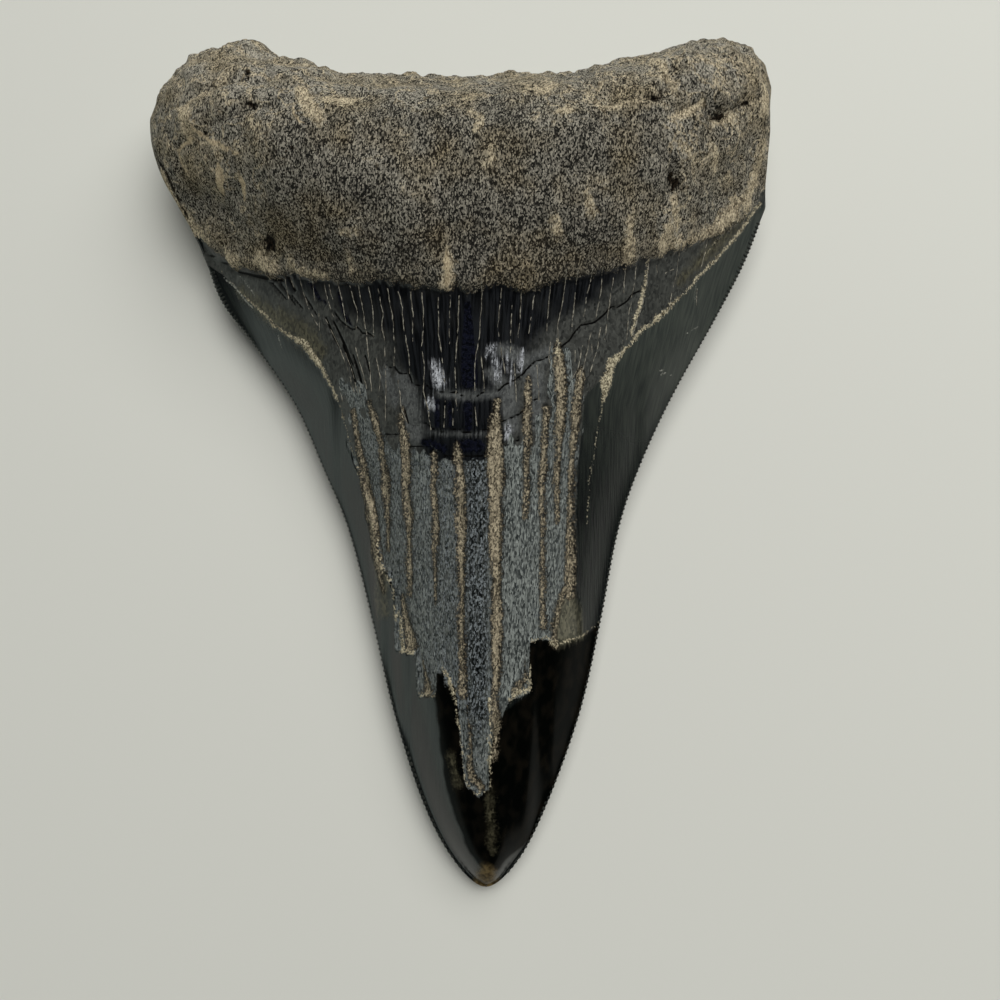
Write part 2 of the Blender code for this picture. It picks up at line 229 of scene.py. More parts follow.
# Scalloped cracks across the band, below each of which the enamel is a thin plate lower
ARCS = (
    ((-16.5, 11.8), (-15.6, 10.5), (-14.7, 9.7), (-13.9, 9.1), (-13.2, 9.3), (-12.5, 8.4),
     (-11.8, 8.4), (-10.9, 7.7)),
    ((-9.1, 3.8), (-8.6, 3.5), (-8.0, 3.5), (-7.4, 2.6), (-6.7, 2.3), (-6.1, 2.6), (-5.6, 1.0),
     (-4.8, 0.7), (-4.0, 0.9), (-3.2, 0.1), (-2.3, -0.2), (-1.2, -0.7), (0.0, -0.5),
     (1.0, -1.2), (2.4, -1.3), (3.4, -0.6), (5.2, -0.5), (6.1, 0.4), (7.3, 1.0), (8.4, 1.9),
     (9.1, 2.8), (9.9, 3.6), (11.3, 4.2), (12.2, 4.7), (13.7, 6.2), (14.6, 7.0), (15.1, 7.9),
     (16.2, 9.2), (17.9, 9.7), (19.4, 11.1), (20.1, 12.1), (21.2, 12.3), (22.4, 13.2),
     (23.3, 14.4), (24.6, 15.2)),
    ((-6.6, -2.2), (-6.1, -4.0), (-4.9, -4.3), (-3.8, -4.2), (-2.7, -5.1), (-1.8, -5.4),
     (-0.6, -5.3), (0.3, -5.1), (1.0, -5.7), (2.8, -5.5), (3.7, -5.4), (4.4, -5.5),
     (5.1, -4.5), (5.7, -4.3), (6.9, -3.8), (8.0, -3.2), (8.7, -2.5)),
    ((-6.3, -6.4), (-5.8, -6.8), (-4.3, -7.0), (-3.5, -6.9), (-2.5, -8.0), (-0.8, -8.6),
     (0.5, -8.4), (1.9, -8.7), (3.3, -8.6), (3.8, -8.1)),
    ((6.0, -7.4), (7.3, -6.8), (8.0, -6.4)),
    ((9.5, -1.5), (10.4, -1.0), (11.4, -0.8)),
    ((-9.5, -4.7), (-8.3, -5.1), (-7.0, -5.0)),
    ((9.6, -4.7), (10.6, -4.1), (11.3, -3.4)),
)
PLATE_STEP = 0.12
CRACK = 0.12  # half width of those cracks
CRACK_DEPTH = 0.25
# The band's black middle, which mirrors the dark room: its half width against y. A grey painted sheen lies
# beside it.
BLACK_X = 0.8
BLACK_Y = (-8.0, 1.0, 8.0, 13.0)
BLACK_HALF_WIDTH = (3.5, 4.5, 8.5, 16.0)
# Open slits between the fibres, painted black as shadow, and the black glassy plates of the middle
SLITS = (
    ((-21.3, 15.4, 0.11), (-20.2, 13.7, 0.13), (-19.1, 11.9, 0.09)),
    ((-17.8, 11.4, 0.13), (-16.6, 8.7, 0.17), (-15.8, 7.2, 0.09)),
    ((-16.7, 10.7, 0.11), (-15.0, 7.3, 0.17), (-13.8, 4.6, 0.11)),
    ((-15.3, 7.5, 0.13), (-14.0, 4.2, 0.17), (-12.8, 0.6, 0.13)),
    ((-13.8, 5.9, 0.13), (-12.8, 3.1, 0.17), (-12.1, 0.3, 0.11)),
    ((-12.1, 5.6, 0.11), (-11.2, 2.8, 0.11)),
    ((-23.0, 15.5, 0.11), (-21.3, 13.3, 0.11)),
    ((-38.2, 26.0, 0.08), (-37.0, 24.7, 0.14), (-34.5, 22.9, 0.12), (-31.7, 21.0, 0.14)),
    ((-31.7, 20.9, 0.1), (-28.5, 19.4, 0.2), (-26.3, 18.5, 0.25), (-24.3, 17.8, 0.2)),
    ((-26.1, 17.9, 0.11), (-23.8, 15.1, 0.11)),
    ((-24.6, 17.3, 0.11), (-22.4, 14.0, 0.11)),
    ((-23.5, 18.0, 0.17), (-22.4, 15.9, 0.17)),
)
GLASSY = (
    ((-20.3, 16.8, 0.25), (-18.6, 13.9, 0.25), (-17.6, 13.2, 0.13)),
    ((-15.8, 14.2, 0.25), (-15.0, 11.1, 0.29), (-14.0, 9.5, 0.21)),
    ((1.4, 11.0, 0.4), (1.5, 7.7, 0.7), (1.6, 3.2, 1.1), (1.6, 0.8, 1.0)),
    ((-2.4, -1.6, 0.3), (-2.3, -4.7, 0.3)),
    ((-0.7, -1.9, 0.25), (-0.7, -4.8, 0.25)),
    ((1.5, -2.2, 0.5), (1.6, -5.2, 0.4)),
    ((-4.0, -6.6, 0.5), (-1.5, -7.6, 0.5)),
    ((1.0, -7.4, 0.8), (2.8, -7.4, 0.8)),
)
# Painted glints: silvery patches that stand for the light the enamel mirrors; and grey plates, whose grey
# is a painted sheen
PAINTED_GLINTS = (
    ((-2.9, 3.4, 0.3), (-2.4, 1.9, 0.65), (-2.0, 0.6, 0.6)),
    ((3.9, 4.2, 0.1), (4.3, 4.9, 0.3), (4.7, 5.6, 0.1)),
    ((4.6, 4.6, 0.1), (4.9, 2.6, 0.35), (5.0, 0.7, 0.15)),
    ((6.4, 4.4, 0.05), (6.6, 2.2, 0.2), (6.9, 0.9, 0.1)),
    ((8.4, 5.0, 0.05), (8.2, 3.4, 0.2), (8.0, 2.2, 0.05)),
    ((-3.4, -1.5, 0.3), (-2.7, -2.4, 0.2)),
    ((6.5, -6.4, 0.2), (6.7, -5.2, 0.3)),
)
# Plates of the band that carry a painted grey sheen
PAINTED_SHEEN_PLATES = (
    ((-7.1, 1.8, 0.9), (-5.8, -1.1, 1.2), (-5.2, -5.7, 1.1)),
    ((-9.2, 2.9, 0.6), (-7.8, -0.9, 0.8)),
    ((4.5, 1.9, 0.7), (6.5, -0.6, 1.1), (7.0, -4.6, 0.9)),
    ((9.6, 2.2, 1.2), (10.2, -2.0, 1.1), (9.8, -4.5, 0.6)),
    ((6.1, 4.9, 0.9), (9.3, 3.4, 0.9), (12.0, 5.0, 0.8)),
    ((-2.0, -0.6, 0.45), (1.8, -1.2, 0.45), (5.5, -0.6, 0.45)),
    ((-3.6, -5.4, 0.0), (0.0, -5.9, 0.1), (3.6, -5.9, 0.0)),
)
# Tan sediment packed into the band's lower edge, its widest cracks and the flaked steps
SEDIMENT_RISE = 0.12
SEDIMENT = (
    ((-35.0, 22.2, -0.08), (-31.0, 17.6, 0.0), (-29.3, 16.0, 0.08), (-25.7, 12.3, 0.1),
     (-23.2, 10.3, 0.15), (-20.6, 8.5, 0.4), (-18.2, 5.2, 0.25), (-16.4, 1.8, 0.08),
     (-15.4, -0.8, -0.05), (-13.6, -7.4, -0.06), (-11.4, -14.0, 0.0), (-10.2, -20.1, 0.06),
     (-8.2, -24.0, 0.04), (-7.9, -28.0, 0.0)),
    ((43.8, 33.0, 0.2), (40.3, 27.7, 0.16), (34.8, 21.0, 0.16), (30.7, 16.1, 0.04),
     (27.9, 13.1, 0.28), (24.5, 9.9, 0.15), (22.0, 7.0, 0.2), (20.0, 4.9, 0.55),
     (19.4, 2.4, 0.65), (18.9, 0.2, 0.25)),
    ((18.9, 0.2, 0.02), (18.0, -5.0, -0.02), (17.1, -10.1, -0.04), (16.8, -16.0, -0.08)),
    ((25.4, 19.3, 0.1), (25.1, 16.5, 0.2), (24.4, 13.3, 0.2), (23.0, 9.1, 0.15)),
    ((42.6, 33.0, 0.0), (38.4, 27.6, -0.06), (35.8, 24.6, -0.03), (34.0, 22.0, -0.06)),
    ((12.9, 7.0, 0.1), (12.9, 5.0, 0.3)),
    ((-7.6, -27.0, 0.1), (-7.0, -31.4, 0.2), (-5.4, -31.9, 0.1)),
    ((-4.8, -36.9, 0.1), (-2.7, -37.0, 0.15)),
    ((-1.7, -33.8, 0.1), (-0.9, -35.2, 0.25), (-0.3, -36.3, 0.2), (0.6, -41.0, -0.02),
     (1.2, -46.5, -0.04), (2.4, -48.2, 0.0), (3.6, -48.0, 0.04)),
    ((4.3, -37.5, 0.12), (4.4, -42.0, 0.1), (4.3, -47.6, 0.06)),
    ((6.6, -37.8, 0.15), (7.7, -36.8, 0.25), (9.1, -36.3, 0.2), (9.2, -33.4, -0.02)),
    ((9.2, -30.8, 0.04), (11.5, -30.1, 0.06), (12.0, -31.0, 0.15), (12.9, -30.9, 0.1),
     (15.6, -29.9, 0.0), (18.5, -27.7, -0.02)),
)
# Tan streaks down the bare dentine
STREAK_DEPTH = 0.15
STREAKS = (
    ((-13.8, -1.0, 0.2), (-12.7, -8.0, 0.2), (-11.6, -13.5, 0.3), (-10.4, -20.0, 0.2), (-9.5, -24.0, 0.15)),
    ((-11.4, -0.5, 0.15), (-10.6, -3.0, 0.3), (-9.8, -6.0, 0.15), (-9.5, -12.0, 0.3), (-9.2, -19.0, 0.1)),
    ((-7.0, -2.0, 0.12), (-6.6, -7.0, 0.35), (-6.4, -14.0, 0.35), (-6.2, -19.0, 0.15), (-6.2, -25.0, 0.1)),
    ((-2.9, -8.0, 0.12), (-2.8, -14.0, 0.22), (-2.7, -20.0, 0.12), (-2.7, -26.0, 0.08)),
    ((0.2, -7.2, 0.12), (0.3, -10.0, 0.35), (0.6, -14.0, 0.45), (0.7, -24.0, 0.3), (0.7, -30.0, 0.15),
     (0.8, -37.0, 0.25)),
    ((5.1, -1.6, 0.1), (4.9, -4.0, 0.4), (4.9, -7.5, 0.85), (5.0, -17.0, 0.8), (5.1, -22.0, 0.45),
     (5.2, -28.0, 0.5), (5.1, -38.0, 0.25), (4.8, -44.0, 0.2)),
    ((9.0, 1.4, 0.12), (9.0, -3.0, 0.35), (8.8, -8.0, 0.2), (8.8, -16.0, 0.12)),
    ((11.3, -2.0, 0.15), (11.0, -8.0, 0.25), (11.0, -22.0, 0.1), (11.0, -29.0, 0.12)),
    ((12.8, 6.0, 0.2), (13.2, 3.0, 0.55), (13.2, -1.0, 0.5), (12.9, -8.0, 0.22), (12.9, -16.0, 0.1)),
    ((15.9, 3.0, 0.3), (15.2, -2.0, 0.4), (14.8, -8.0, 0.15), (14.7, -16.0, 0.2), (14.6, -20.0, 0.35),
     (14.6, -25.0, 0.3)),
    ((-7.2, -25.0, 0.25), (-6.5, -28.7, 0.3), (-6.0, -31.0, 0.5)),
    ((-4.5, -32.2, -0.3), (-3.9, -34.9, 0.1), (-3.5, -36.6, 0.4)),
    ((1.4, -37.0, -0.4), (1.9, -41.0, -0.1), (1.9, -46.3, 0.2), (3.2, -47.6, 0.2)),
    ((8.6, -31.5, -0.4), (8.8, -35.0, 0.1), (7.4, -36.6, 0.2)),
    ((14.2, -24.0, 0.2), (13.0, -26.0, 0.15), (12.5, -28.5, 0.15), (12.3, -31.0, 0.3)),
)
# Tone of the dentine strips between the streaks, dark to light: x, tone
STRIP_X = (-14.0, -9.0, -6.0, -3.2, -2.4, 0.0, 1.4, 1.8, 3.6, 4.2, 6.4, 10.0, 16.0)
STRIP_TONE = (0.6, 0.4, 0.5, 0.5, 0.35, 0.3, 0.2, 0.0, 0.0, 0.3, 0.8, 0.7, 0.6)

# Pale dust on the root
DUST_RISE = 0.1
DUST = (
    ((-36.8, 40.0, 0.8), (-36.2, 35.9, 0.6)),
    ((-20.4, 39.2, 0.8), (-18.6, 35.4, 0.9), (-17.2, 33.4, 0.4)),
    ((-16.5, 37.6, 0.9), (-13.7, 38.1, 0.6)),
    ((-1.2, 17.4, 0.3), (-0.9, 15.9, 0.5), (-1.2, 13.4, 0.5), (-1.2, 11.7, 0.1)),
    ((-32.9, 22.8, 0.6), (-30.9, 21.7, 0.4)),
    ((-27.1, 20.8, 0.9), (-25.1, 19.6, 0.6)),
    ((-22.5, 19.3, 0.4), (-21.7, 18.2, 0.4), (-19.6, 17.4, 0.3), (-17.5, 16.5, 0.2)),
    ((-42.3, 34.6, 0.4), (-41.2, 31.9, 0.5), (-38.9, 28.2, 0.5), (-36.4, 25.6, 0.5)),
    ((-14.4, 20.1, 0.2), (-12.3, 20.1, 0.2)),
    ((-13.9, 18.0, 0.0), (-13.6, 16.4, 0.1)),
    ((8.8, 39.5, 0.6), (11.4, 39.4, 0.8), (12.5, 40.3, 0.4)),
    ((13.2, 34.7, 0.5), (14.5, 35.4, 0.5)),
    ((18.1, 36.3, 0.3), (19.9, 36.6, 0.3), (24.2, 37.7, 0.2)),
    ((27.9, 35.5, 0.3), (30.3, 36.9, 0.4), (32.6, 38.7, 0.3)),
    ((33.9, 37.0, 0.3), (36.4, 38.4, 0.5), (37.4, 39.3, 0.3)),
    ((42.3, 48.1, 0.4), (43.0, 45.6, 0.7), (42.4, 42.2, 0.5)),
    ((43.0, 39.3, 0.4), (42.6, 37.5, 0.5), (42.0, 34.6, 0.4), (41.3, 32.6, 0.5), (40.6, 31.0, 0.6)),
    ((33.9, 33.7, 0.5), (34.3, 32.6, 0.5)),
    ((28.3, 33.3, 0.2), (30.5, 32.0, 0.4), (32.2, 31.5, 0.2)),
    ((28.2, 26.9, 0.3), (29.0, 24.2, 0.5)),
    ((27.7, 23.2, 0.5), (27.2, 20.8, 0.8), (28.2, 20.0, 0.6)),
    ((22.1, 22.3, 0.3), (22.0, 19.9, 0.5), (22.0, 17.8, 0.4)),
    ((16.4, 24.1, 0.4), (17.1, 22.1, 0.4)),
    ((12.3, 21.2, 0.3), (12.6, 19.2, 0.3)),
    ((28.1, 21.3, 0.4), (30.0, 22.2, 0.5), (32.0, 23.2, 0.6), (34.6, 25.3, 0.6), (36.8, 27.4, 0.6),
     (38.4, 29.5, 0.5), (39.2, 30.9, 0.4)),
    ((1.6, 35.8, 0.3), (2.9, 34.3, 0.4), (2.5, 32.0, 0.2)),
    ((4.5, 29.4, 0.13), (4.5, 27.6, 0.16), (3.9, 27.0, 0.11)),
    ((26.4, 46.0, 0.5), (27.7, 42.2, 0.4), (28.5, 40.3, 0.3)),
    ((32.5, 45.9, 0.5), (35.4, 44.5, 0.4)),
)
# Pale scars and rubbed spots of the root
SCARS = (
    ((-34.6, 37.5, 0.1), (-35.1, 36.2, 0.3), (-36.4, 35.2, 0.3), (-38.4, 35.0, 0.2)),
    ((-34.6, 35.6, 0.2), (-32.2, 33.6, 0.22), (-30.0, 32.4, 0.28), (-28.2, 31.4, 0.15)),
    ((-38.1, 34.6, 0.2), (-38.1, 33.6, 0.15), (-36.4, 31.7, 0.1)),
    ((-31.7, 31.4, 0.2), (-31.6, 30.5, 0.6), (-31.8, 29.3, 0.6), (-31.7, 28.4, 0.2)),
    ((-28.7, 29.5, 0.1), (-28.4, 28.7, 0.45), (-28.2, 27.8, 0.45), (-28.3, 27.0, 0.1)),
    ((-21.0, 36.4, 0.1), (-20.8, 34.9, 0.2), (-19.5, 33.2, 0.15)),
    ((-1.2, 17.4, 0.1), (-1.2, 15.9, 0.35), (-1.0, 14.5, 0.35), (-1.1, 12.8, 0.15)),
)
# Pits of the root, painted dark as shade: x, y, radius
PITS = (
    (-27.0, 37.3, 0.9), (-23.5, 43.2, 1.0), (-25.5, 22.2, 1.2), (25.7, 38.5, 1.1),
    (9.4, 38.8, 0.8), (35.1, 38.0, 1.0), (28.7, 28.5, 1.2), (15.9, 23.7, 0.7),
    (-34.4, 39.2, 0.7), (-33.6, 35.2, 0.8), (-28.5, 44.2, 0.9), (-14.1, 38.8, 0.6),
    (42.9, 40.8, 0.8), (-20.6, 30.2, 0.5), (19.7, 20.7, 0.5), (-14.4, 19.6, 0.5),
)
PIT_DEPTH = 0.4
# Crevices of the root, painted dark as shade
CREVICES = (
    ((-28.9, 43.4, 0.13), (-27.2, 43.2, 0.18), (-25.7, 43.6, 0.11)),
    ((-24.0, 42.7, 0.11), (-23.2, 42.8, 0.22), (-22.6, 43.0, 0.11)),
    ((-27.9, 37.3, 0.18), (-26.9, 37.4, 0.26), (-26.3, 36.8, 0.13)),
    ((-16.2, 38.1, 0.13), (-14.8, 38.7, 0.18), (-13.6, 38.6, 0.11)),
    ((-25.3, 22.5, 0.29), (-25.0, 21.6, 0.34), (-24.7, 20.9, 0.15)),
    ((-44.0, 37.9, 0.15), (-41.3, 34.0, 0.2), (-39.9, 30.8, 0.2), (-38.7, 28.4, 0.15)),
    ((24.6, 37.9, 0.15), (25.5, 38.5, 0.3), (26.7, 39.2, 0.2)),
    ((28.1, 36.2, 0.15), (29.2, 37.1, 0.12), (30.6, 37.7, 0.1)),
    ((33.7, 37.1, 0.15), (35.0, 37.8, 0.31), (35.7, 38.6, 0.2)),
    ((38.1, 40.5, 0.13), (39.2, 41.1, 0.23), (40.2, 42.0, 0.1)),
    ((27.9, 29.1, 0.2), (28.3, 27.5, 0.23)), ((15.7, 24.0, 0.2), (16.0, 23.5, 0.25)),
    ((7.3, 39.5, 0.15), (8.9, 40.0, 0.15), (9.4, 38.6, 0.12)),
)
# The tan tip's middle, reach and start on the labial face
TAN_TIP_X = 3.9
TAN_TIP_Y = -58.4
TAN_TIP_REACH = 1.5
TAN_LABIAL_FROM = -57.0
# Fine scratches of the blade, and brown stains beside its sediment and near the tip
SCRATCHES = (
    ((31.4, 11.6, 0.07), (33.5, 13.2, 0.07)), ((26.6, 5.3, 0.07), (27.8, 6.2, 0.07)),
    ((27.0, 5.0, 0.07), (28.0, 5.8, 0.09), (29.2, 5.9, 0.07)),
    ((33.0, 18.7, 0.09), (32.9, 17.4, 0.1), (32.8, 15.6, 0.06)),
    ((-34.2, 20.8, 0.09), (-32.4, 19.2, 0.11), (-30.4, 16.6, 0.09), (-29.3, 15.4, 0.09)),
    ((-25.3, 11.2, 0.08), (-25.0, 10.3, 0.08), (-24.6, 9.3, 0.06)),
    ((-31.5, 20.4, 0.06), (-30.0, 18.5, 0.08), (-28.8, 16.8, 0.06)),
)
STAINS = (
    ((-31.5, 18.4, 0.4), (-27.0, 14.3, 0.8), (-21.5, 10.4, 1.2), (-18.6, 7.2, 0.9)),
    ((4.2, -47.8, 0.12), (4.3, -49.5, 0.2), (4.6, -52.6, 0.15), (4.7, -54.6, 0.1)),
    ((-0.4, -44.2, 0.2), (0.4, -47.0, 0.35)),
    ((-10.9, -18.5, 0.2), (-9.9, -21.5, 0.7), (-9.4, -26.5, 0.6)),
    ((42.4, 32.2, 0.5), (38.2, 26.6, 0.7), (33.6, 21.6, 0.5), (30.2, 17.6, 0.3)),
)
# Folds between the root's knobs, darkened with painted shade
FOLD_DEPTH = 0.6
FOLDS = (
    ((-37.2, 40.9, 0.2), (-33.6, 41.8, 0.4), (-30.2, 42.3, 0.5), (-25.8, 43.0, 0.6),
     (-22.8, 42.6, 0.5), (-19.4, 44.8, 0.3)),
    ((-38.4, 34.9, 0.3), (-34.9, 35.5, 0.4), (-31.5, 35.9, 0.5), (-26.6, 37.0, 0.5),
     (-23.4, 36.2, 0.2)),
    ((-38.5, 34.7, 0.3), (-38.0, 31.5, 0.6), (-35.6, 28.8, 0.9), (-31.5, 27.4, 0.8),
     (-29.2, 28.6, 0.5)),
    ((-43.5, 37.4, 0.3), (-41.3, 34.0, 0.4), (-39.5, 30.4, 0.5), (-38.0, 27.4, 0.3)),
    ((24.6, 38.0, 0.4), (26.5, 39.0, 0.6), (28.1, 42.1, 0.5), (29.6, 44.7, 0.3)),
    ((27.6, 35.6, 0.2), (30.2, 37.4, 0.4), (32.9, 38.6, 0.4), (34.7, 37.6, 0.6),
     (35.8, 38.6, 0.5), (38.8, 41.1, 0.6), (41.4, 43.9, 0.3)),
    ((26.3, 32.1, 0.3), (28.5, 29.2, 0.6), (28.0, 27.2, 0.5)),
)
LOBES_FROM = (14.0, 34.0)  # away from the middle, where the root's lobes set in
# Lumps of the root: wave length, height; and knobs: x, y, radius, height
LUMPS = ((14.0, 0.9), (5.5, 0.5))
CRUST = ((2.3, 0.3), (1.2, 0.2), (0.8, 0.1))
KNOBS = (
    (-30.5, 52.0, 4.5, 0.5), (-25.5, 50.5, 3.5, 0.7), (-38.0, 46.0, 5.0, 0.5),
    (39.0, 50.0, 5.0, 0.6), (30.0, 46.0, 4.0, 0.5), (-12.0, 46.5, 5.0, 0.4),
)


def nearest_on(points, x, y):
    """Distance to a line of points, and the nearest place on it as a fractional index."""
    distance = np.full(x.shape, np.inf)
    index = np.zeros(x.shape)
    for i, (start, end) in enumerate(zip(points, points[1:])):
        run = (end[0] - start[0], end[1] - start[1])
        part = ((x - start[0]) * run[0] + (y - start[1]) * run[1]) / (run[0] ** 2 + run[1] ** 2)
        part = np.clip(part, 0.0, 1.0)
        away = np.hypot(x - start[0] - part * run[0], y - start[1] - part * run[1])
        index = np.where(away < distance, i + part, index)
        distance = np.minimum(distance, away)
    return distance, index


def depth_inside(outline, x, y):
    """Distance from places inside an outline to its edge, negative outside."""
    inside = np.zeros(x.shape, bool)
    closed = outline + outline[:1]
    for (x0, y0), (x1, y1) in zip(closed, closed[1:]):
        crosses = ((y0 > y) != (y1 > y)) & (x < x0 + (x1 - x0) * (y - y0) / (y1 - y0 + 1e-12))
        inside ^= crosses
    distance = nearest_on(closed, x, y)[0]
    return np.where(inside, distance, -distance)


FAR = -9.0  # depth of a place that is nowhere near a mark


def depth_in_strokes(strokes, x, y):
    """How far places lie inside strokes, negative outside."""
    depth = np.full(x.shape, FAR)
    for stroke in strokes:
        distance, index = nearest_on(stroke, x, y)
        half_width = np.interp(index, np.arange(len(stroke)), [p[2] for p in stroke])
        depth = np.maximum(depth, half_width - distance)
    return depth


def plates_above(x, y):
    """How many plates have come off above a place, and the distance to the nearest crack."""
    count = np.zeros(x.shape)
    nearest = np.full(x.shape, np.inf)
    for arc in ARCS:
        xs, ys = np.array(arc).T
        reach = smooth(xs[0] - 1.0, xs[0] + 1.0, x) * (1.0 - smooth(xs[-1] - 1.0, xs[-1] + 1.0, x))
        count += reach * smooth(-0.1, 0.1, np.interp(x, xs, ys) - y)
        nearest = np.minimum(nearest, nearest_on(arc, x, y)[0])
    return count, nearest


FAN_X = 2.0  # the enamel's fibres run straight up the blade and fan out into the band
FAN_LEFT = 0.019
FAN_RIGHT = 0.012


def fibre(x, y):
    """Across coordinate that stays the same along an enamel fibre."""
    opening = np.where(x < FAN_X, FAN_LEFT, FAN_RIGHT) * np.clip(y, 0.0, None)
    return FAN_X + (x - FAN_X) / (1.0 + opening)


def waves(places, length, stretch=1.0):
    """Smooth noise of a wave length at an array of places, about -1 to 1, drawn out along Y."""
    scaled = (places / (length, length * stretch, length)).reshape(-1, 3)
    return np.array([noise.noise(Vector(p)) for p in scaled]).reshape(places.shape[:-1])


def normals(places):
    """Unit normals of a grid of places."""
    normal = np.cross(np.gradient(places, axis=1), np.gradient(places, axis=0))
    return normal / np.maximum(np.linalg.norm(normal, axis=-1, keepdims=True), 1e-12)


share = np.linspace(0.0, 1.0, ROWS + 1)
climbs = np.interp(share, ROW_SHARE, ROW_CLIMB)
root_rows = climbs > ROOT_LINE
climbs[root_rows] = ROOT_LINE + np.sin(math.pi / 2 * (climbs[root_rows] - ROOT_LINE))
parts = np.linspace(-1.0, 1.0, COLUMNS + 1)
climb_grid = np.repeat(climbs[:, None], COLUMNS + 1, 1)
side_grid = spread(parts[None, :], climb_grid)
smooth_face = lingual(side_grid, climb_grid)
face_x, face_y = smooth_face[..., 0], smooth_face[..., 1]
rise = np.clip(climb_grid - ROOT_LINE, 0.0, 1.0)
line_y = crown_place(side_grid, np.full_like(climb_grid, ROOT_LINE))[1]
fine = waves(smooth_face, 0.9)
coarse = waves(smooth_face, 3.0)
drawn = waves(smooth_face, 0.9, 5.0)

# Each mark is a depth in millimetres: positive inside it, 0 at its edge. Waves added to a
# place or a depth make the edge wander. Pairs of numbers in smooth() are where it sets in
# and where it is full, in millimetres up or across the tooth.
lobes = smooth(*LOBES_FROM, np.abs(face_x))
folded = smooth(-1.0, 0.5, depth_in_strokes(FOLDS, face_x + 0.5 * fine, face_y + 0.6 * coarse))
steep = 1.0 - smooth(0.3, 0.6, normals(smooth_face)[..., 2])
holes = np.max([r - np.hypot(face_x - x, face_y - y) for x, y, r in PITS], axis=0) * 0.8 - 0.3
plates, crack_distance = plates_above(face_x, face_y)
marks = {
    "fibre": fibre(face_x, face_y),
    "peel": depth_inside(PEEL, face_x + 0.25 * drawn, face_y + 0.4 * fine)
    + 2.5 * drawn * smooth(-10.0, -5.0, face_y),
    "flap": depth_inside(FLAP, face_x, face_y + 0.2 * fine) - 2.0 * smooth(-27.5, -21.0, face_y),
    "band": depth_inside(BAND, face_x, face_y),
    "crack": np.maximum(CRACK - crack_distance, depth_in_strokes(SLITS, face_x, face_y)),
    "glassy": depth_in_strokes(GLASSY, face_x, face_y),
    "painted_glint": depth_in_strokes(PAINTED_GLINTS, face_x, face_y),
    "painted_sheen_plate": depth_in_strokes(PAINTED_SHEEN_PLATES, face_x, face_y),
    "sediment": depth_in_strokes(SEDIMENT, face_x + 0.2 * fine, face_y + 0.2 * coarse) + 0.15 * fine,
    "streak": depth_in_strokes(STREAKS, face_x + 0.3 * drawn, face_y) + 0.2 * fine + 0.1 * coarse,
    "strip": np.interp(face_x, STRIP_X, STRIP_TONE) + 0.5 * smooth(38.0, 43.0, -face_y),
    "crust": face_y - line_y + 0.9 * coarse + 0.6 * fine
    - 3.0 * smooth(0.86, 1.0, -side_grid) - 2.0 * smooth(0.9, 1.0, side_grid),
    "dust": depth_in_strokes(DUST, face_x + 0.4 * fine, face_y + 0.5 * coarse) + 0.15,
    "scar": depth_in_strokes(SCARS, face_x + 0.15 * fine, face_y + 0.15 * coarse),
    "pit": np.maximum(holes, 2.0 * depth_in_strokes(CREVICES, face_x, face_y))
    + 0.5 * fine - 3.0 * steep,
    "scratch": depth_in_strokes(SCRATCHES, face_x, face_y),
    "stain": depth_in_strokes(STAINS, face_x, face_y) + 0.5 * drawn,
    # beside each streak, where a groove's shadow is painted
    "painted_groove_shadow": depth_in_strokes(STREAKS, face_x - 0.3 + 0.3 * drawn, face_y) + 0.3 * coarse,
    "jet": depth_inside(JET, face_x + 0.3 * coarse, face_y),
    # The blade's right flank, where a grey sheen is painted
    "painted_flank_sheen": smooth(-16.0, 12.0, face_y) * smooth(0.2, 0.6, side_grid),
    "tip": TAN_TIP_REACH - np.hypot(face_x - TAN_TIP_X, 0.7 * (face_y - TAN_TIP_Y)) + 0.3 * coarse,
}
# Tone of the root, 0 dark to 1 pale: its lobes and base are paler, the stretch above the
# root line darker, and its folds darker with painted shade
marks["tone"] = (
    0.27 + 0.25 * lobes + 0.1 * smooth(15.0, 30.0, -face_x) + 0.5 * smooth(32.0, 46.0, face_y)
    * (1.0 - 0.4 * lobes) + 0.3 * waves(smooth_face, 6.0) + 0.35 * waves(smooth_face, 1.5)
    - 0.4 * (1.0 - smooth(0.0, 11.0, face_y - line_y)) * (1.0 - lobes) - 0.3 * folded
)
# Painted sheen on the band's sides: grey everywhere but the black middle and the shaded stretch just under
# the root line
black_half_width = np.interp(face_y, BLACK_Y, BLACK_HALF_WIDTH)
black_middle = 1.0 - smooth(0.0, 4.0, np.abs(face_x - BLACK_X) - black_half_width)
black_under_root = 1.0 - smooth(0.5, 4.0, line_y - face_y)
black_under_root *= 1.0 - smooth(20.0, 31.0, np.abs(face_x + 2.0))
marks["painted_band_sheen"] = 1.0 - np.maximum(black_middle, black_under_root) + 0.3 * waves(smooth_face, 4.0)

on_root = smooth(-0.15, 0.2, marks["crust"])
near_base = smooth(44.0, 50.0, face_y)
rugged = 0.6 + 0.9 * smooth(24.0, 38.0, np.abs(face_x)) + near_base * (1.4 - lobes)
relief_root = (
    ROOT_LEDGE * (1.0 - smooth(0.3, 0.7, rise))
    + sum(size * waves(smooth_face, length) for length, size in LUMPS) * smooth(0.0, 0.15, rise)
    + sum(size * waves(smooth_face, length) for length, size in CRUST) * rugged
    + sum(h * (1.0 - smooth(0.0, r, np.hypot(face_x - x, face_y - y))) for x, y, r, h in KNOBS)
    - PIT_DEPTH * smooth(-0.3, 0.7, marks["pit"]) - FOLD_DEPTH * folded
    + DUST_RISE * smooth(-0.3, 0.3, marks["dust"])
)
bared = smooth(0.0, 0.25, marks["peel"])
lower_step = 1.0 - smooth(-14.0, 0.0, face_y)  # the flaked edge dies out towards the band
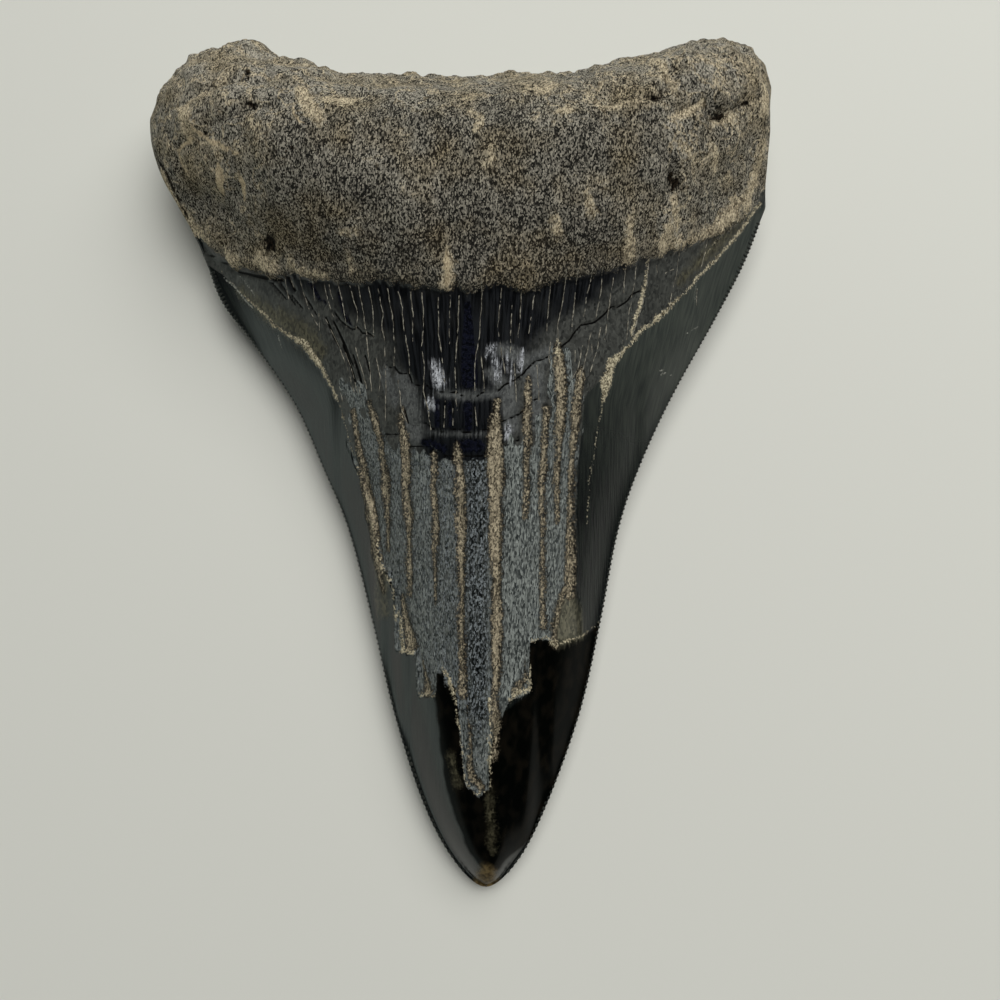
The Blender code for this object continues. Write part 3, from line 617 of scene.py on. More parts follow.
relief_crown = (
    -BAND_HOLLOW * smooth(BAND_START, 9.0, climb_grid)
    - PEEL_DEPTH * bared * (0.15 + 0.85 * lower_step)
    - FLAP_DEPTH * smooth(0.0, 0.25, marks["flap"])
    - PLATE_STEP * plates * (1.0 - bared)
    - CRACK_DEPTH * smooth(-0.15, 0.1, marks["crack"]) * (1.0 - bared)
    - STREAK_DEPTH * smooth(-0.2, 0.3, marks["streak"]) * bared
    + (0.1 * drawn + 0.05 * fine) * bared
    + SEDIMENT_RISE * smooth(-0.1, 0.3, marks["sediment"])
    + 0.03 * drawn * smooth(0.0, 1.0, marks["band"])
)
relief = relief_crown + (relief_root - relief_crown) * on_root
relief *= 1.0 - np.abs(side_grid) ** 24
face = smooth_face + normals(smooth_face) * relief[..., None]
under = labial(side_grid[:, ::LABIAL_STEP], climb_grid[:, ::LABIAL_STEP])

# The blade's rim stops short of the outline
edge_run = np.gradient(smooth_face[:, (0, -1)], axis=0)
away = np.stack((edge_run[..., 1], -edge_run[..., 0]), -1)
away *= np.array((-1.0, 1.0))[None, :, None] / np.linalg.norm(away, axis=-1, keepdims=True)
toward = np.where(side_grid[..., None] < 0, away[:, :1], away[:, -1:])
inset = RIM_INSET * (1.0 - smooth(ROOT_LINE - 0.3, ROOT_LINE, climb_grid)) * np.abs(side_grid) ** 40
face[..., :2] -= toward * inset[..., None]


def grid_faces(index, flip):
    """Quads of a grid of vertex indices."""
    low, high = index[:-1], index[1:]
    quads = np.stack((low[:, :-1], low[:, 1:], high[:, 1:], high[:, :-1]), -1).reshape(-1, 4)
    return (quads[:, ::-1] if flip else quads).tolist()


face_index = np.arange(face.size // 3).reshape(face.shape[:2])
inner = under[1:-1, 1:-1]
under_index = np.empty(under.shape[:2], int)
under_index[1:-1, 1:-1] = face.size // 3 + np.arange(inner.size // 3).reshape(inner.shape[:2])
under_index[:, 0], under_index[:, -1] = face_index[:, 0], face_index[:, -1]
under_index[0] = face_index[0, ::LABIAL_STEP]
under_index[-1] = face_index[-1, ::LABIAL_STEP]
points = np.concatenate((face.reshape(-1, 3), inner.reshape(-1, 3))) * MM
faces = grid_faces(face_index, False) + grid_faces(under_index[:-1], True)
for i in range(under.shape[1] - 1):
    top = face_index[-1, i * LABIAL_STEP : (i + 1) * LABIAL_STEP + 1].tolist()
    faces.append([under_index[-2, i + 1], under_index[-2, i]] + top)
tooth_mesh = bpy.data.meshes.new("tooth_body")
tooth_mesh.from_pydata(points.tolist(), [], faces)

plain = np.full(inner.shape[:2], FAR)
under_marks = {
    "fibre": inner[..., 0],
    "tone": np.full(inner.shape[:2], 0.5),
    "crust": inner[..., 1] - line_y[1:-1, ::LABIAL_STEP][:, 1:-1],
    "tip": TAN_LABIAL_FROM - inner[..., 1],
}
for name, values in marks.items():
    attribute = tooth_mesh.attributes.new(name, "FLOAT", "POINT")
    below = under_marks.get(name, plain)
    attribute.data.foreach_set("value", np.concatenate((values.ravel(), below.ravel())))
shell = bmesh.new()
shell.from_mesh(tooth_mesh)
bmesh.ops.remove_doubles(shell, verts=shell.verts, dist=0.0005 * MM)
bmesh.ops.recalc_face_normals(shell, faces=shell.faces)
shell.to_mesh(tooth_mesh)
shell.free()
tooth_mesh.shade_smooth()
tooth = bpy.data.objects.new("tooth_body", tooth_mesh)
bpy.context.scene.collection.objects.link(tooth)


# Finishes of the tooth ------------------------------------------------------------------
# Enamel, dentine and root each took up minerals and wore in their own way. Each finish is
# laid over the ones below it where the mesh carries its mark. Some finishes are painted light
# and shade: sheen, glints, and shadow in cracks, grooves, pits and folds.


def linear(code):
    """Linear colour of an sRGB hex code."""
    parts = [int(code[i : i + 2], 16) / 255 for i in (1, 3, 5)]
    return [p / 12.92 if p <= 0.04045 else ((p + 0.055) / 1.055) ** 2.4 for p in parts] + [1.0]


def add(tree, kind, inputs=(), output=0, **settings):
    """Adds a node with its settings, and its inputs set or linked, and gives one output."""
    node = tree.nodes.new(kind)
    for name, value in settings.items():
        setattr(node, name, value)
    for key, value in inputs.items() if isinstance(inputs, dict) else enumerate(inputs):
        if isinstance(value, bpy.types.NodeSocket):
            tree.links.new(value, node.inputs[key])
        else:
            node.inputs[key].default_value = value
    return node.outputs[output] if node.outputs else node


def toned(tree, pattern, dark, light, lift, soft, rough, height):
    """Finish whose colour follows a pattern from dark to light. Lift lightens it."""
    raised = add(tree, "ShaderNodeMath", (pattern, lift))
    inputs = {"Value": raised, "From Min": 0.5 - soft, "From Max": 0.5 + soft}
    lit = add(tree, "ShaderNodeMapRange", inputs)
    inputs = {0: lit, 6: linear(dark), 7: linear(light)}
    return {
        "colour": add(tree, "ShaderNodeMix", inputs, 2, data_type="RGBA"),
        "roughness": rough,
        "height": add(tree, "ShaderNodeMath", (lit, height), operation="MULTIPLY"),
    }


def grains(tree, place, size, dark, light, lift=0.0, soft=0.1, rough=0.85, height=0.1):
    """Finish of soft flecks, size millimetres across."""
    inputs = {"Vector": place, "Scale": 1 / size, "Detail": 1.0, "Roughness": 0.5}
    flecks = add(tree, "ShaderNodeTexNoise", inputs)
    return toned(tree, flecks, dark, light, lift, soft, rough, height)


def sand(tree, place, size, dark, light, lift=-0.18, soft=0.28, rough=0.9, height=0.05):
    """Finish of sharp grains, size millimetres across, each of its own tone.

    Real grains of dentine and root are about 0.05 mm, too fine to show, so they are drawn
    about three times coarser.
    """
    inputs = {"Vector": place, "Scale": 1 / size}
    tones = add(tree, "ShaderNodeTexVoronoi", inputs, "Color")
    return toned(tree, tones, dark, light, lift, soft, rough, height)


def ragged(tree, mark, grain, reach, soft=0.06):
    """Mask of a mark of the mesh, its edge broken up by grain over reach millimetres."""
    depth = add(tree, "ShaderNodeAttribute", output="Fac", attribute_name=mark)
    moved = add(tree, "ShaderNodeMath", (grain, reach, depth), operation="MULTIPLY_ADD")
    inputs = {"Value": moved, "From Min": reach / 2 - soft, "From Max": reach / 2 + soft}
    return add(tree, "ShaderNodeMapRange", inputs, interpolation_type="SMOOTHSTEP")


def lay_over(tree, under, over, mask):
    """Finish with another laid over it where the mask is 1."""
    inputs = {0: mask, 6: under["colour"], 7: over["colour"]}
    laid = {"colour": add(tree, "ShaderNodeMix", inputs, 2, data_type="RGBA")}
    for part in ("roughness", "height"):
        laid[part] = add(tree, "ShaderNodeMix", {0: mask, 2: under[part], 3: over[part]})
    return laid


def new_material(name, ior):
    """A material, its tree, and the place of each point in millimetres."""
    material = bpy.data.materials.new(name)
    material.use_nodes = True
    tree = material.node_tree
    tree.nodes["Principled BSDF"].inputs["IOR"].default_value = ior
    metres = add(tree, "ShaderNodeTexCoord", output="Object")
    place = add(tree, "ShaderNodeVectorMath", {0: metres, "Scale": 1 / MM}, operation="SCALE")
    return material, tree, place


def wear(tree, finish):
    """Gives the material's shader a finish."""
    shader = tree.nodes["Principled BSDF"]
    bump = {"Height": finish["height"], "Distance": MM}
    tree.links.new(add(tree, "ShaderNodeBump", bump), shader.inputs["Normal"])
    tree.links.new(finish["colour"], shader.inputs["Base Color"])
    if isinstance(finish["roughness"], float):
        shader.inputs["Roughness"].default_value = finish["roughness"]
    else:
        tree.links.new(finish["roughness"], shader.inputs["Roughness"])


def root_finish(tree, place):
    """Fossil root: sandy grains in dark brown bone, dusted tan, with painted shade in its pits and
    crevices.
    """
    # Stains 6 mm wide, pale seams 3.2 mm apart that are partly dust and partly a painted highlight on the
    # lobes' ridges, and crumbs of 0.6 mm, as on weathered bone
    tone = add(tree, "ShaderNodeAttribute", output="Fac", attribute_name="tone")
    lift = add(tree, "ShaderNodeMapRange", {"Value": tone, "To Min": -0.27, "To Max": -0.01})
    upright = add(tree, "ShaderNodeVectorMath", (place, (1.0, 0.55, 1.0)), operation="MULTIPLY")
    bone = sand(tree, upright, 0.15, "#1e1d1a", "#ada797", lift, 0.32)
    warm = sand(tree, upright, 0.15, "#231e16", "#ac9f83", lift, 0.32)
    clouds = add(tree, "ShaderNodeTexNoise", {"Vector": place, "Scale": 1 / 6.0, "Detail": 3.0})
    clouds = add(tree, "ShaderNodeMapRange", {"Value": clouds, "From Min": 0.42, "From Max": 0.68})
    bone = lay_over(tree, bone, warm, clouds)
    dusty = sand(tree, upright, 0.15, "#5a503f", "#d2c4a5", -0.04, 0.32)
    # Painted shade: near black in the pits and crevices
    painted_pit_shade = sand(tree, upright, 0.15, "#060504", "#322a20")
    dust_and_ridge_highlight = add(tree, "ShaderNodeTexNoise", {"Vector": place, "Scale": 1 / 3.2, "Detail": 3.0})
    dust_and_ridge_highlight = add(tree, "ShaderNodeMath", (dust_and_ridge_highlight, 0.5, 0.022), operation="COMPARE")
    ends = add(tree, "ShaderNodeMapRange", {
        "Value": tone, "From Min": 0.35, "From Max": 0.6, "To Max": 0.7})
    dust_and_ridge_highlight = add(tree, "ShaderNodeMath", (dust_and_ridge_highlight, ends), operation="MULTIPLY")
    bone = lay_over(tree, bone, dusty, dust_and_ridge_highlight)
    spots = add(tree, "ShaderNodeTexNoise", {"Vector": place, "Scale": 1 / 0.6, "Detail": 3.0})
    bone = lay_over(tree, bone, dusty, ragged(tree, "dust", spots, 2.0, 0.45))
    scarred = sand(tree, upright, 0.15, "#82745c", "#cdbd9c", 0.0, 0.4)
    bone = lay_over(tree, bone, scarred, ragged(tree, "scar", spots, 0.6, 0.12))
    return lay_over(tree, bone, painted_pit_shade, ragged(tree, "pit", spots, 1.2, 0.2))


# Polished fossil enamel: a dense near-black mineral, glossy where whole. Its fine fibres
# draw it out along the blade, and its right flank carries a grey painted sheen. A real fibre
# is finer than a pixel, so fibres are drawn as bundles of 0.2 to 0.3 mm.
enamel, tree, place = new_material("polished_fossil_enamel", 1.6)
height_y = add(tree, "ShaderNodeSeparateXYZ", {0: place}, "Y")
across = add(tree, "ShaderNodeAttribute", output="Fac", attribute_name="fibre")
slow_y = add(tree, "ShaderNodeMath", (height_y, 0.05), operation="MULTIPLY")
fibres = add(tree, "ShaderNodeCombineXYZ", (across, slow_y, 0.0))
upright = add(tree, "ShaderNodeVectorMath", (place, (1.0, 0.6, 1.0)), operation="MULTIPLY")
streaky = add(tree, "ShaderNodeTexNoise", {"Vector": fibres, "Scale": 1 / 0.3, "Detail": 3.0})
broad = add(tree, "ShaderNodeTexNoise", {"Vector": place, "Scale": 1 / 2.5, "Detail": 3.0})
fleck = add(tree, "ShaderNodeTexNoise", {"Vector": place, "Scale": 1 / 0.3, "Detail": 2.0})

blade = grains(tree, fibres, 0.2, "#0b0d0e", "#181c19", 0.0, 0.1, 0.24, 0.003)
# Painted sheen: grey on the blade's right flank, fading out towards the tip
painted_flank_sheen_finish = grains(tree, fibres, 0.2, "#2f3330", "#40443e", 0.0, 0.15, 0.32, 0.002)
painted_flank_sheen = add(tree, "ShaderNodeAttribute", output="Fac", attribute_name="painted_flank_sheen")
finish = lay_over(tree, blade, painted_flank_sheen_finish, painted_flank_sheen)
jet = grains(tree, upright, 1.2, "#030403", "#0f0d09", -0.06, 0.12, 0.2, 0.002)
jet_mask = ragged(tree, "jet", broad, 0.8, 0.25)
finish = lay_over(tree, finish, jet, jet_mask)
tan_tip = grains(tree, place, 0.5, "#3a2f1b", "#6a5a3b", 0.0, 0.15, 0.3, 0.0)
tip_mask = ragged(tree, "tip", broad, 1.0, 0.5)
finish = lay_over(tree, finish, tan_tip, tip_mask)
flake = sand(tree, upright, 0.25, "#3b3a30", "#6e6b59", -0.05, 0.4, 0.4, 0.002)
finish = lay_over(tree, finish, flake, ragged(tree, "flap", streaky, 1.5, 0.8))

# The band: softer, matt enamel, with glassy plates, painted silvery glints, grey plates of painted sheen,
# and open cracks painted black as shadow
band = grains(tree, fibres, 0.25, "#060708", "#17191b", 0.0, 0.1, 0.4, 0.01)
# Painted sheen: grey over the band's sides, away from its black middle
painted_band_sheen_finish = sand(tree, upright, 0.25, "#20211f", "#494a45", 0.0, 0.45, 0.45, 0.01)
painted_band_sheen = add(tree, "ShaderNodeAttribute", output="Fac", attribute_name="painted_band_sheen")
band = lay_over(tree, band, painted_band_sheen_finish, painted_band_sheen)
# Painted sheen: grey laid on plates of the band where the enamel would mirror the bright room
painted_sheen_plate_finish = sand(tree, upright, 0.2, "#2e3030", "#60625f", 0.0, 0.5, 0.45, 0.01)
glass = grains(tree, place, 0.4, "#06070a", "#11131e", 0.0, 0.12, 0.2, 0.01)
# Painted reflection: pale silvery colour where the enamel would mirror the light
painted_glint_finish = sand(tree, upright, 0.17, "#25272a", "#c4c7ca", -0.04, 0.36, 0.35, 0.02)
# Painted shadow: near black in the band's cracks and slits
painted_crack_shadow = grains(tree, place, 0.3, "#020202", "#0a0908", 0.0, 0.2, 0.8, 0.0)
for mark, over, edge, reach, soft in (
    ("painted_sheen_plate", painted_sheen_plate_finish, streaky, 2.0, 0.6), ("glassy", glass, streaky, 0.8, 0.2),
    ("painted_glint", painted_glint_finish, streaky, 2.6, 0.5), ("crack", painted_crack_shadow, fleck, 0.12, 0.04),
):
    band = lay_over(tree, band, over, ragged(tree, mark, edge, reach, soft))
finish = lay_over(tree, finish, band, ragged(tree, "band", fleck, 0.1, 0.1))
stained = sand(tree, upright, 0.3, "#222016", "#5d5946", -0.05, 0.4, 0.45, 0.005)
finish = lay_over(tree, finish, stained, ragged(tree, "stain", fleck, 1.5, 0.8))
scratch = grains(tree, place, 0.3, "#4e4f49", "#8f8f85", 0.0, 0.1, 0.5, 0.0)
finish = lay_over(tree, finish, scratch, ragged(tree, "scratch", fleck, 0.2, 0.04))

# Bare dentine: matt, granular slate, dark or light in strips, with tan streaks in grooves and painted
# shadow beside them
strip = add(tree, "ShaderNodeAttribute", output="Fac", attribute_name="strip")
shade = add(tree, "ShaderNodeMath", (streaky, 1.0, strip), operation="MULTIPLY_ADD")
shade = add(tree, "ShaderNodeMapRange", {"Value": shade, "From Min": 0.4, "From Max": 1.3})
dark_dentine = sand(tree, upright, 0.15, "#040606", "#8c9395", -0.2, 0.27, 0.8, 0.04)
threads = add(tree, "ShaderNodeVectorMath", (place, (1.0, 0.35, 1.0)), operation="MULTIPLY")
pale_dentine = sand(tree, threads, 0.14, "#2b2f2e", "#90958f", -0.08, 0.34, 0.8, 0.04)
dentine = lay_over(tree, dark_dentine, pale_dentine, shade)
# Painted shadow: near black along the grooves beside the tan streaks
painted_groove_shadow = grains(tree, upright, 0.3, "#060504", "#1d1812", 0.0, 0.12, 0.9, 0.0)
dentine = lay_over(tree, dentine, painted_groove_shadow, ragged(tree, "painted_groove_shadow", fleck, 2.0, 0.4))
finish = lay_over(tree, finish, dentine, ragged(tree, "peel", fleck, 0.5, 0.1))
tan_dust = sand(tree, upright, 0.16, "#3d372c", "#b7ab90", -0.05, 0.37, 0.9, 0.04)
painted_streak_edge_shadow = add(tree, "ShaderNodeAttribute", output="Fac", attribute_name="streak")
painted_streak_edge_shadow = add(tree, "ShaderNodeMapRange", {
    "Value": painted_streak_edge_shadow, "From Min": -0.45, "From Max": -0.15, "To Max": 0.8})
finish = lay_over(tree, finish, painted_groove_shadow, painted_streak_edge_shadow)
finish = lay_over(tree, finish, tan_dust, ragged(tree, "streak", fleck, 1.6, 0.3))

sediment = sand(tree, place, 0.2, "#484132", "#cbc1a3", 0.0, 0.35, 0.9, 0.05)
finish = lay_over(tree, finish, sediment, ragged(tree, "sediment", fleck, 1.0, 0.12))
finish = lay_over(tree, finish, root_finish(tree, place), ragged(tree, "crust", fleck, 2.0, 0.12))
wear(tree, finish)
mirroring = add(tree, "ShaderNodeMapRange", {
    "Value": add(tree, "ShaderNodeMath", (jet_mask, tip_mask), operation="MAXIMUM"),
    "To Min": 0.5, "To Max": 0.06})
tree.links.new(mirroring, tree.nodes["Principled BSDF"].inputs["Specular IOR Level"])

# Porous fossil root: bone turned to brown stone, rough as sandstone and never glossy
BONE_FROM = 1.7  # up from the root line, where a face is clear of the crust's ragged edge
bone, tree, place = new_material("sandy_fossil_root", 1.5)
tree.nodes["Principled BSDF"].inputs["Specular IOR Level"].default_value = 0.2
wear(tree, root_finish(tree, place))

tooth_mesh.materials.append(enamel)
tooth_mesh.materials.append(bone)
crust = np.empty(len(tooth_mesh.vertices), np.float32)
tooth_mesh.attributes["crust"].data.foreach_get("value", crust)
slots = [int(crust[list(face.vertices)].min() > BONE_FROM) for face in tooth_mesh.polygons]
tooth_mesh.polygons.foreach_set("material_index", slots)
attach(tooth, "root")
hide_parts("tooth")

# Serrations -----------------------------------------------------------------------------
# Fine teeth along both cutting edges, grown of the same enamel, side by side from each
# shoulder of the crown to near the tip, where they are worn away. They are worn unevenly.

SERRATION_PITCH = 0.7
SERRATION_DEPTH = 0.9  # from a serration's end inward
SERRATION_THICK = 0.5
SERRATION_REACH = 0.06  # beyond the outline
SERRATION_END = 9.7
WORN_TIP = -57.5  # y beyond which the tip is worn smooth
WHOLE_FROM = -30.0  # y from which the serrations have their full size

edge_climbs = np.linspace(0.0, SERRATION_END, 600)
right_edge = lingual(np.ones(600), edge_climbs)
left_edge = lingual(-np.ones(600), edge_climbs)
edge_path = np.concatenate((right_edge[::-1], left_edge[1:])) * MM
path_mesh = bpy.data.meshes.new("serrations")
kept = np.flatnonzero(edge_path[:-1, 1] > WORN_TIP * MM).tolist()
path_mesh.from_pydata(edge_path.tolist(), [(i, i + 1) for i in kept], [])
serrations = bpy.data.objects.new("serrations", path_mesh)
bpy.context.scene.collection.objects.link(serrations)

# Worn enamel of the edge: too rough to mirror, and paler than the polished blade
edge_enamel, tree, place = new_material("worn_edge_enamel", 1.6)
wear(tree, grains(tree, place, 0.4, "#151716", "#31332e", 0.0, 0.12, 0.35, 0.01))


def geometry_tree(name, sizes):
    """A Geometry Nodes tree with a geometry, named sizes, a seed and a material going in."""
    tree = bpy.data.node_groups.new(name, "GeometryNodeTree")
    face = tree.interface
    face.new_socket("Geometry", in_out="INPUT", socket_type="NodeSocketGeometry")
    face.new_socket("Geometry", in_out="OUTPUT", socket_type="NodeSocketGeometry")
    for size in sizes:
        face.new_socket(size, in_out="INPUT", socket_type="NodeSocketFloat")
    face.new_socket("Seed", in_out="INPUT", socket_type="NodeSocketInt")
    face.new_socket("Material", in_out="INPUT", socket_type="NodeSocketMaterial")
    return tree, tree.nodes.new("NodeGroupInput").outputs


def build_with(piece, tree, values):
    """Runs a tree on a piece with values for its named inputs, and keeps the plain mesh."""
    modifier = piece.modifiers.new(tree.name, "NODES")
    modifier.node_group = tree
    for item in tree.interface.items_tree:
        if item.in_out == "INPUT" and item.name in values:
            modifier[item.identifier] = values[item.name]
    evaluated = piece.evaluated_get(bpy.context.evaluated_depsgraph_get())
    mesh = bpy.data.meshes.new_from_object(evaluated)
    piece.modifiers.clear()
    piece.data = mesh
    mesh.shade_smooth()


tree, given = geometry_tree("serrations_along_edge", (
    "Pitch", "Depth", "Thickness", "Reach", "Worn tip", "Whole from"))
edge = add(tree, "GeometryNodeMeshToCurve", {0: given["Geometry"]})
stations = add(tree, "GeometryNodeResampleCurve", {"Curve": edge, "Length": given["Pitch"]}, mode="LENGTH")
half_width = add(tree, "ShaderNodeMath", (given["Pitch"], 0.5), operation="MULTIPLY")
half_thick = add(tree, "ShaderNodeMath", (given["Thickness"], 0.5), operation="MULTIPLY")
cone = add(tree, "GeometryNodeMeshCone", {
    "Vertices": 10, "Side Segments": 2, "Radius Top": 0.4, "Radius Bottom": 1.0, "Depth": 1.0})
size = add(tree, "ShaderNodeCombineXYZ", (half_width, half_thick, given["Depth"]))
sized = add(tree, "GeometryNodeTransform", {"Geometry": cone, "Scale": size})
start = add(tree, "ShaderNodeMath", (given["Reach"], given["Depth"]), operation="SUBTRACT")
start = add(tree, "ShaderNodeCombineXYZ", (0.0, start, 0.0))
quarter_turn = (-math.pi / 2, 0.0, 0.0)  # the cone's end turned from +Z to +Y, out of the blade
tooth_of_edge = add(tree, "GeometryNodeTransform", {
    "Geometry": sized, "Translation": start, "Rotation": quarter_turn})
tangent = add(tree, "GeometryNodeInputTangent")
turn = add(tree, "FunctionNodeAlignRotationToVector", {"Vector": tangent}, axis="X", pivot_axis="Z")
wearing = add(tree, "FunctionNodeRandomValue", {
    "Min": (0.85, 0.86, 0.9), "Max": (1.05, 1.0, 1.05), "Seed": given["Seed"]},
    "Value", data_type="FLOAT_VECTOR")
spot = add(tree, "GeometryNodeInputPosition")
spot_y = add(tree, "ShaderNodeSeparateXYZ", {0: spot}, "Y")
blunting = add(tree, "ShaderNodeMapRange", {
    "Value": spot_y, "From Min": given["Worn tip"], "From Max": given["Whole from"],
    "To Min": 0.3, "To Max": 1.0})
blunting = add(tree, "ShaderNodeCombineXYZ", (1.0, blunting, blunting))
wearing = add(tree, "ShaderNodeVectorMath", (wearing, blunting), operation="MULTIPLY")
placed = add(tree, "GeometryNodeInstanceOnPoints", {
    "Points": stations, "Instance": tooth_of_edge, "Rotation": turn, "Scale": wearing})
real = add(tree, "GeometryNodeRealizeInstances", {0: placed})
dressed = add(tree, "GeometryNodeSetMaterial", {"Geometry": real, "Material": given["Material"]})
add(tree, "NodeGroupOutput", {0: dressed})
build_with(serrations, tree, {
    "Pitch": SERRATION_PITCH * MM, "Depth": SERRATION_DEPTH * MM,
    "Thickness": SERRATION_THICK * MM, "Reach": SERRATION_REACH * MM,
    "Worn tip": WORN_TIP * MM, "Whole from": WHOLE_FROM * MM, "Seed": 7, "Material": edge_enamel})
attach(serrations, "root")
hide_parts("tooth")

# Hairline veins -------------------------------------------------------------------------
# Hairline cracks that fan out across the dark band, each filled with pale hardened clay
# that stands just proud of the enamel.

VEIN_HALF_WIDTH = 0.08
VEIN_SINK = 0.04  # from the enamel down to a vein's middle
VEIN_WANDER = 0.08
VEIN_STEP = 0.25
VEINS = (
    ((-23.8, 18.3), (-23.2, 15.1)), ((-23.0, 18.0), (-22.4, 16.4)),
    ((-21.5, 17.5), (-21.0, 15.8), (-20.2, 13.3), (-18.8, 10.7)), ((-19.6, 16.8), (-19.2, 14.0)),
    ((-17.9, 16.2), (-17.3, 13.6), (-16.4, 11.3)), ((-17.2, 15.7), (-16.4, 12.9)),
    ((-15.8, 15.5), (-15.0, 12.2), (-14.6, 9.8)), ((-14.2, 15.0), (-13.0, 11.2), (-13.2, 9.2)),
    ((-13.0, 14.8), (-12.2, 11.0), (-11.8, 8.2)), ((-11.6, 14.5), (-10.9, 10.9), (-10.8, 7.8)),
    ((-10.3, 14.0), (-9.6, 10.7), (-9.7, 8.4)), ((-9.0, 13.9), (-8.3, 9.8), (-7.9, 5.9), (-8.0, 3.6)),
    ((-7.6, 13.3), (-7.0, 11.1), (-6.8, 8.3), (-6.1, 5.2), (-5.9, 2.4)),
    ((-6.0, 13.1), (-5.6, 10.3), (-5.6, 6.5)),
    ((-4.5, 12.9), (-4.2, 9.0), (-4.4, 5.5), (-4.0, 3.2), (-4.1, -0.3), (-3.4, -2.6)),
    ((-2.4, 12.1), (-2.3, 8.8), (-2.3, 7.2), (-1.8, 4.4), (-1.4, 0.7)),
    ((-0.8, 12.3), (-0.9, 8.8), (-0.9, 5.8)),
    ((0.3, 12.2), (0.2, 8.0), (-0.1, 2.9), (0.0, -0.6), (0.2, -2.9)),
    ((-18.6, 12.2), (-18.5, 10.0)), ((-17.6, 11.3), (-16.0, 8.1), (-14.5, 4.7), (-13.5, 1.2)),
    ((-14.8, 6.6), (-13.8, 4.1), (-13.0, 0.9)), ((-13.3, 6.9), (-12.5, 4.3), (-11.7, 1.3)),
    ((-11.8, 8.0), (-11.3, 4.1), (-11.0, 0.7)), ((-9.7, 9.1), (-9.3, 7.0), (-9.2, 4.9)),
    ((-10.4, 5.1), (-9.8, 2.5), (-10.0, -0.1)), ((-9.1, 3.8), (-9.0, 0.4), (-9.1, -3.2)),
    ((-7.4, 1.7), (-6.9, -2.2), (-6.1, -3.9)), ((-1.3, -1.6), (-1.4, -5.0)),
    ((2.4, -2.5), (2.7, -5.4)), ((-3.4, -2.8), (-3.1, -5.1)), ((-12.8, 1.7), (-12.4, 0.3)),
    ((-15.6, 2.4), (-15.2, 0.5)),
    ((3.2, 13.5), (3.1, 10.2), (2.9, 6.8), (2.3, 2.9), (2.4, -0.5)),
    ((5.7, 13.1), (5.2, 8.0), (5.5, 6.0), (6.1, 1.8)), ((7.0, 10.9), (6.8, 4.6)),
    ((8.3, 13.4), (8.1, 10.4), (7.8, 6.7)), ((10.1, 13.6), (9.6, 10.4), (9.1, 7.3)),
    ((12.0, 14.0), (11.7, 11.2), (11.4, 7.8)), ((14.0, 15.5), (13.6, 12.2), (12.9, 9.0), (12.9, 5.7)),
    ((15.5, 15.7), (15.1, 12.4), (14.7, 8.7)), ((17.5, 16.5), (16.8, 13.4), (16.3, 10.3)),
    ((18.9, 17.3), (18.7, 14.3), (17.9, 10.3)), ((20.5, 16.8), (20.0, 14.0), (19.5, 10.6), (19.1, 7.7)),
    ((22.0, 17.4), (21.8, 14.3)), ((23.6, 18.3), (23.2, 15.2), (22.6, 12.3), (22.1, 8.3)),
    ((25.4, 19.3), (25.1, 16.5), (24.4, 13.3), (23.0, 9.1)), ((26.5, 19.0), (26.7, 18.0)),
    ((30.1, 22.3), (29.6, 18.8), (28.8, 15.8), (28.5, 13.8)), ((34.6, 25.2), (33.8, 21.6), (32.8, 18.7)),
    ((36.5, 25.6), (36.1, 24.4)), ((27.8, 18.3), (29.1, 19.2)), ((3.1, 4.6), (3.6, -0.5)),
    ((17.3, 7.1), (17.4, 5.2)), ((15.1, 5.7), (15.0, 4.2)), ((21.6, 8.2), (21.2, 5.9)),
    ((33.0, 18.0), (32.9, 15.8)), ((-0.4, -2.6), (-0.3, -4.8)),
    ((11.9, 6.4), (11.6, 4.2), (12.5, 2.2)), ((16.1, 6.5), (15.4, 3.4), (14.5, 1.7)),
    ((17.3, 8.4), (16.4, 4.6), (15.6, 1.4)), ((18.6, 9.3), (17.9, 5.8), (17.1, 3.2)),
    ((10.1, 3.2), (10.4, -1.5)), ((7.3, 3.2), (7.6, -2.0)),
)
ABOVE = 40.0  # height that the veins' paths are laid out at, before they drop on the tooth
path_points = []
path_edges = []
for vein in VEINS:
    path_edges += [(len(path_points) + i, len(path_points) + i + 1) for i in range(len(vein) - 1)]
    path_points += [(x * MM, y * MM, ABOVE * MM) for x, y in vein]
path_mesh = bpy.data.meshes.new("hairline_veins")
path_mesh.from_pydata(path_points, path_edges, [])
veins = bpy.data.objects.new("hairline_veins", path_mesh)
bpy.context.scene.collection.objects.link(veins)

# Hardened pale clay: a dry, matt, chalky filling
clay, tree, place = new_material("hardened_pale_clay", 1.5)
tree.nodes["Principled BSDF"].inputs["Specular IOR Level"].default_value = 0.2
wear(tree, grains(tree, place, 0.5, "#57534a", "#938f81", 0.0, 0.15, 0.95, 0.03))

tree, given = geometry_tree("veins_dropped_on_tooth", ("Half width", "Sink", "Wander", "Step"))
tree.interface.new_socket("Tooth", in_out="INPUT", socket_type="NodeSocketObject")
target = add(tree, "GeometryNodeObjectInfo", {0: given["Tooth"]}, "Geometry", transform_space="RELATIVE")
path = add(tree, "GeometryNodeMeshToCurve", {0: given["Geometry"]})
path = add(tree, "GeometryNodeResampleCurve", {"Curve": path, "Length": given["Step"]}, mode="LENGTH")
spot = add(tree, "GeometryNodeInputPosition")
drift = add(tree, "ShaderNodeTexNoise", {"Vector": spot, "Scale": 1 / (1.1 * MM), "Detail": 2.0})
NOISE_SWING = 0.25  # how far the noise strays from its middle, 0.5
for other, operation in (
    (0.5, "SUBTRACT"), (given["Wander"], "MULTIPLY"), (1 / NOISE_SWING, "MULTIPLY"),
):
    drift = add(tree, "ShaderNodeMath", (drift, other), operation=operation)
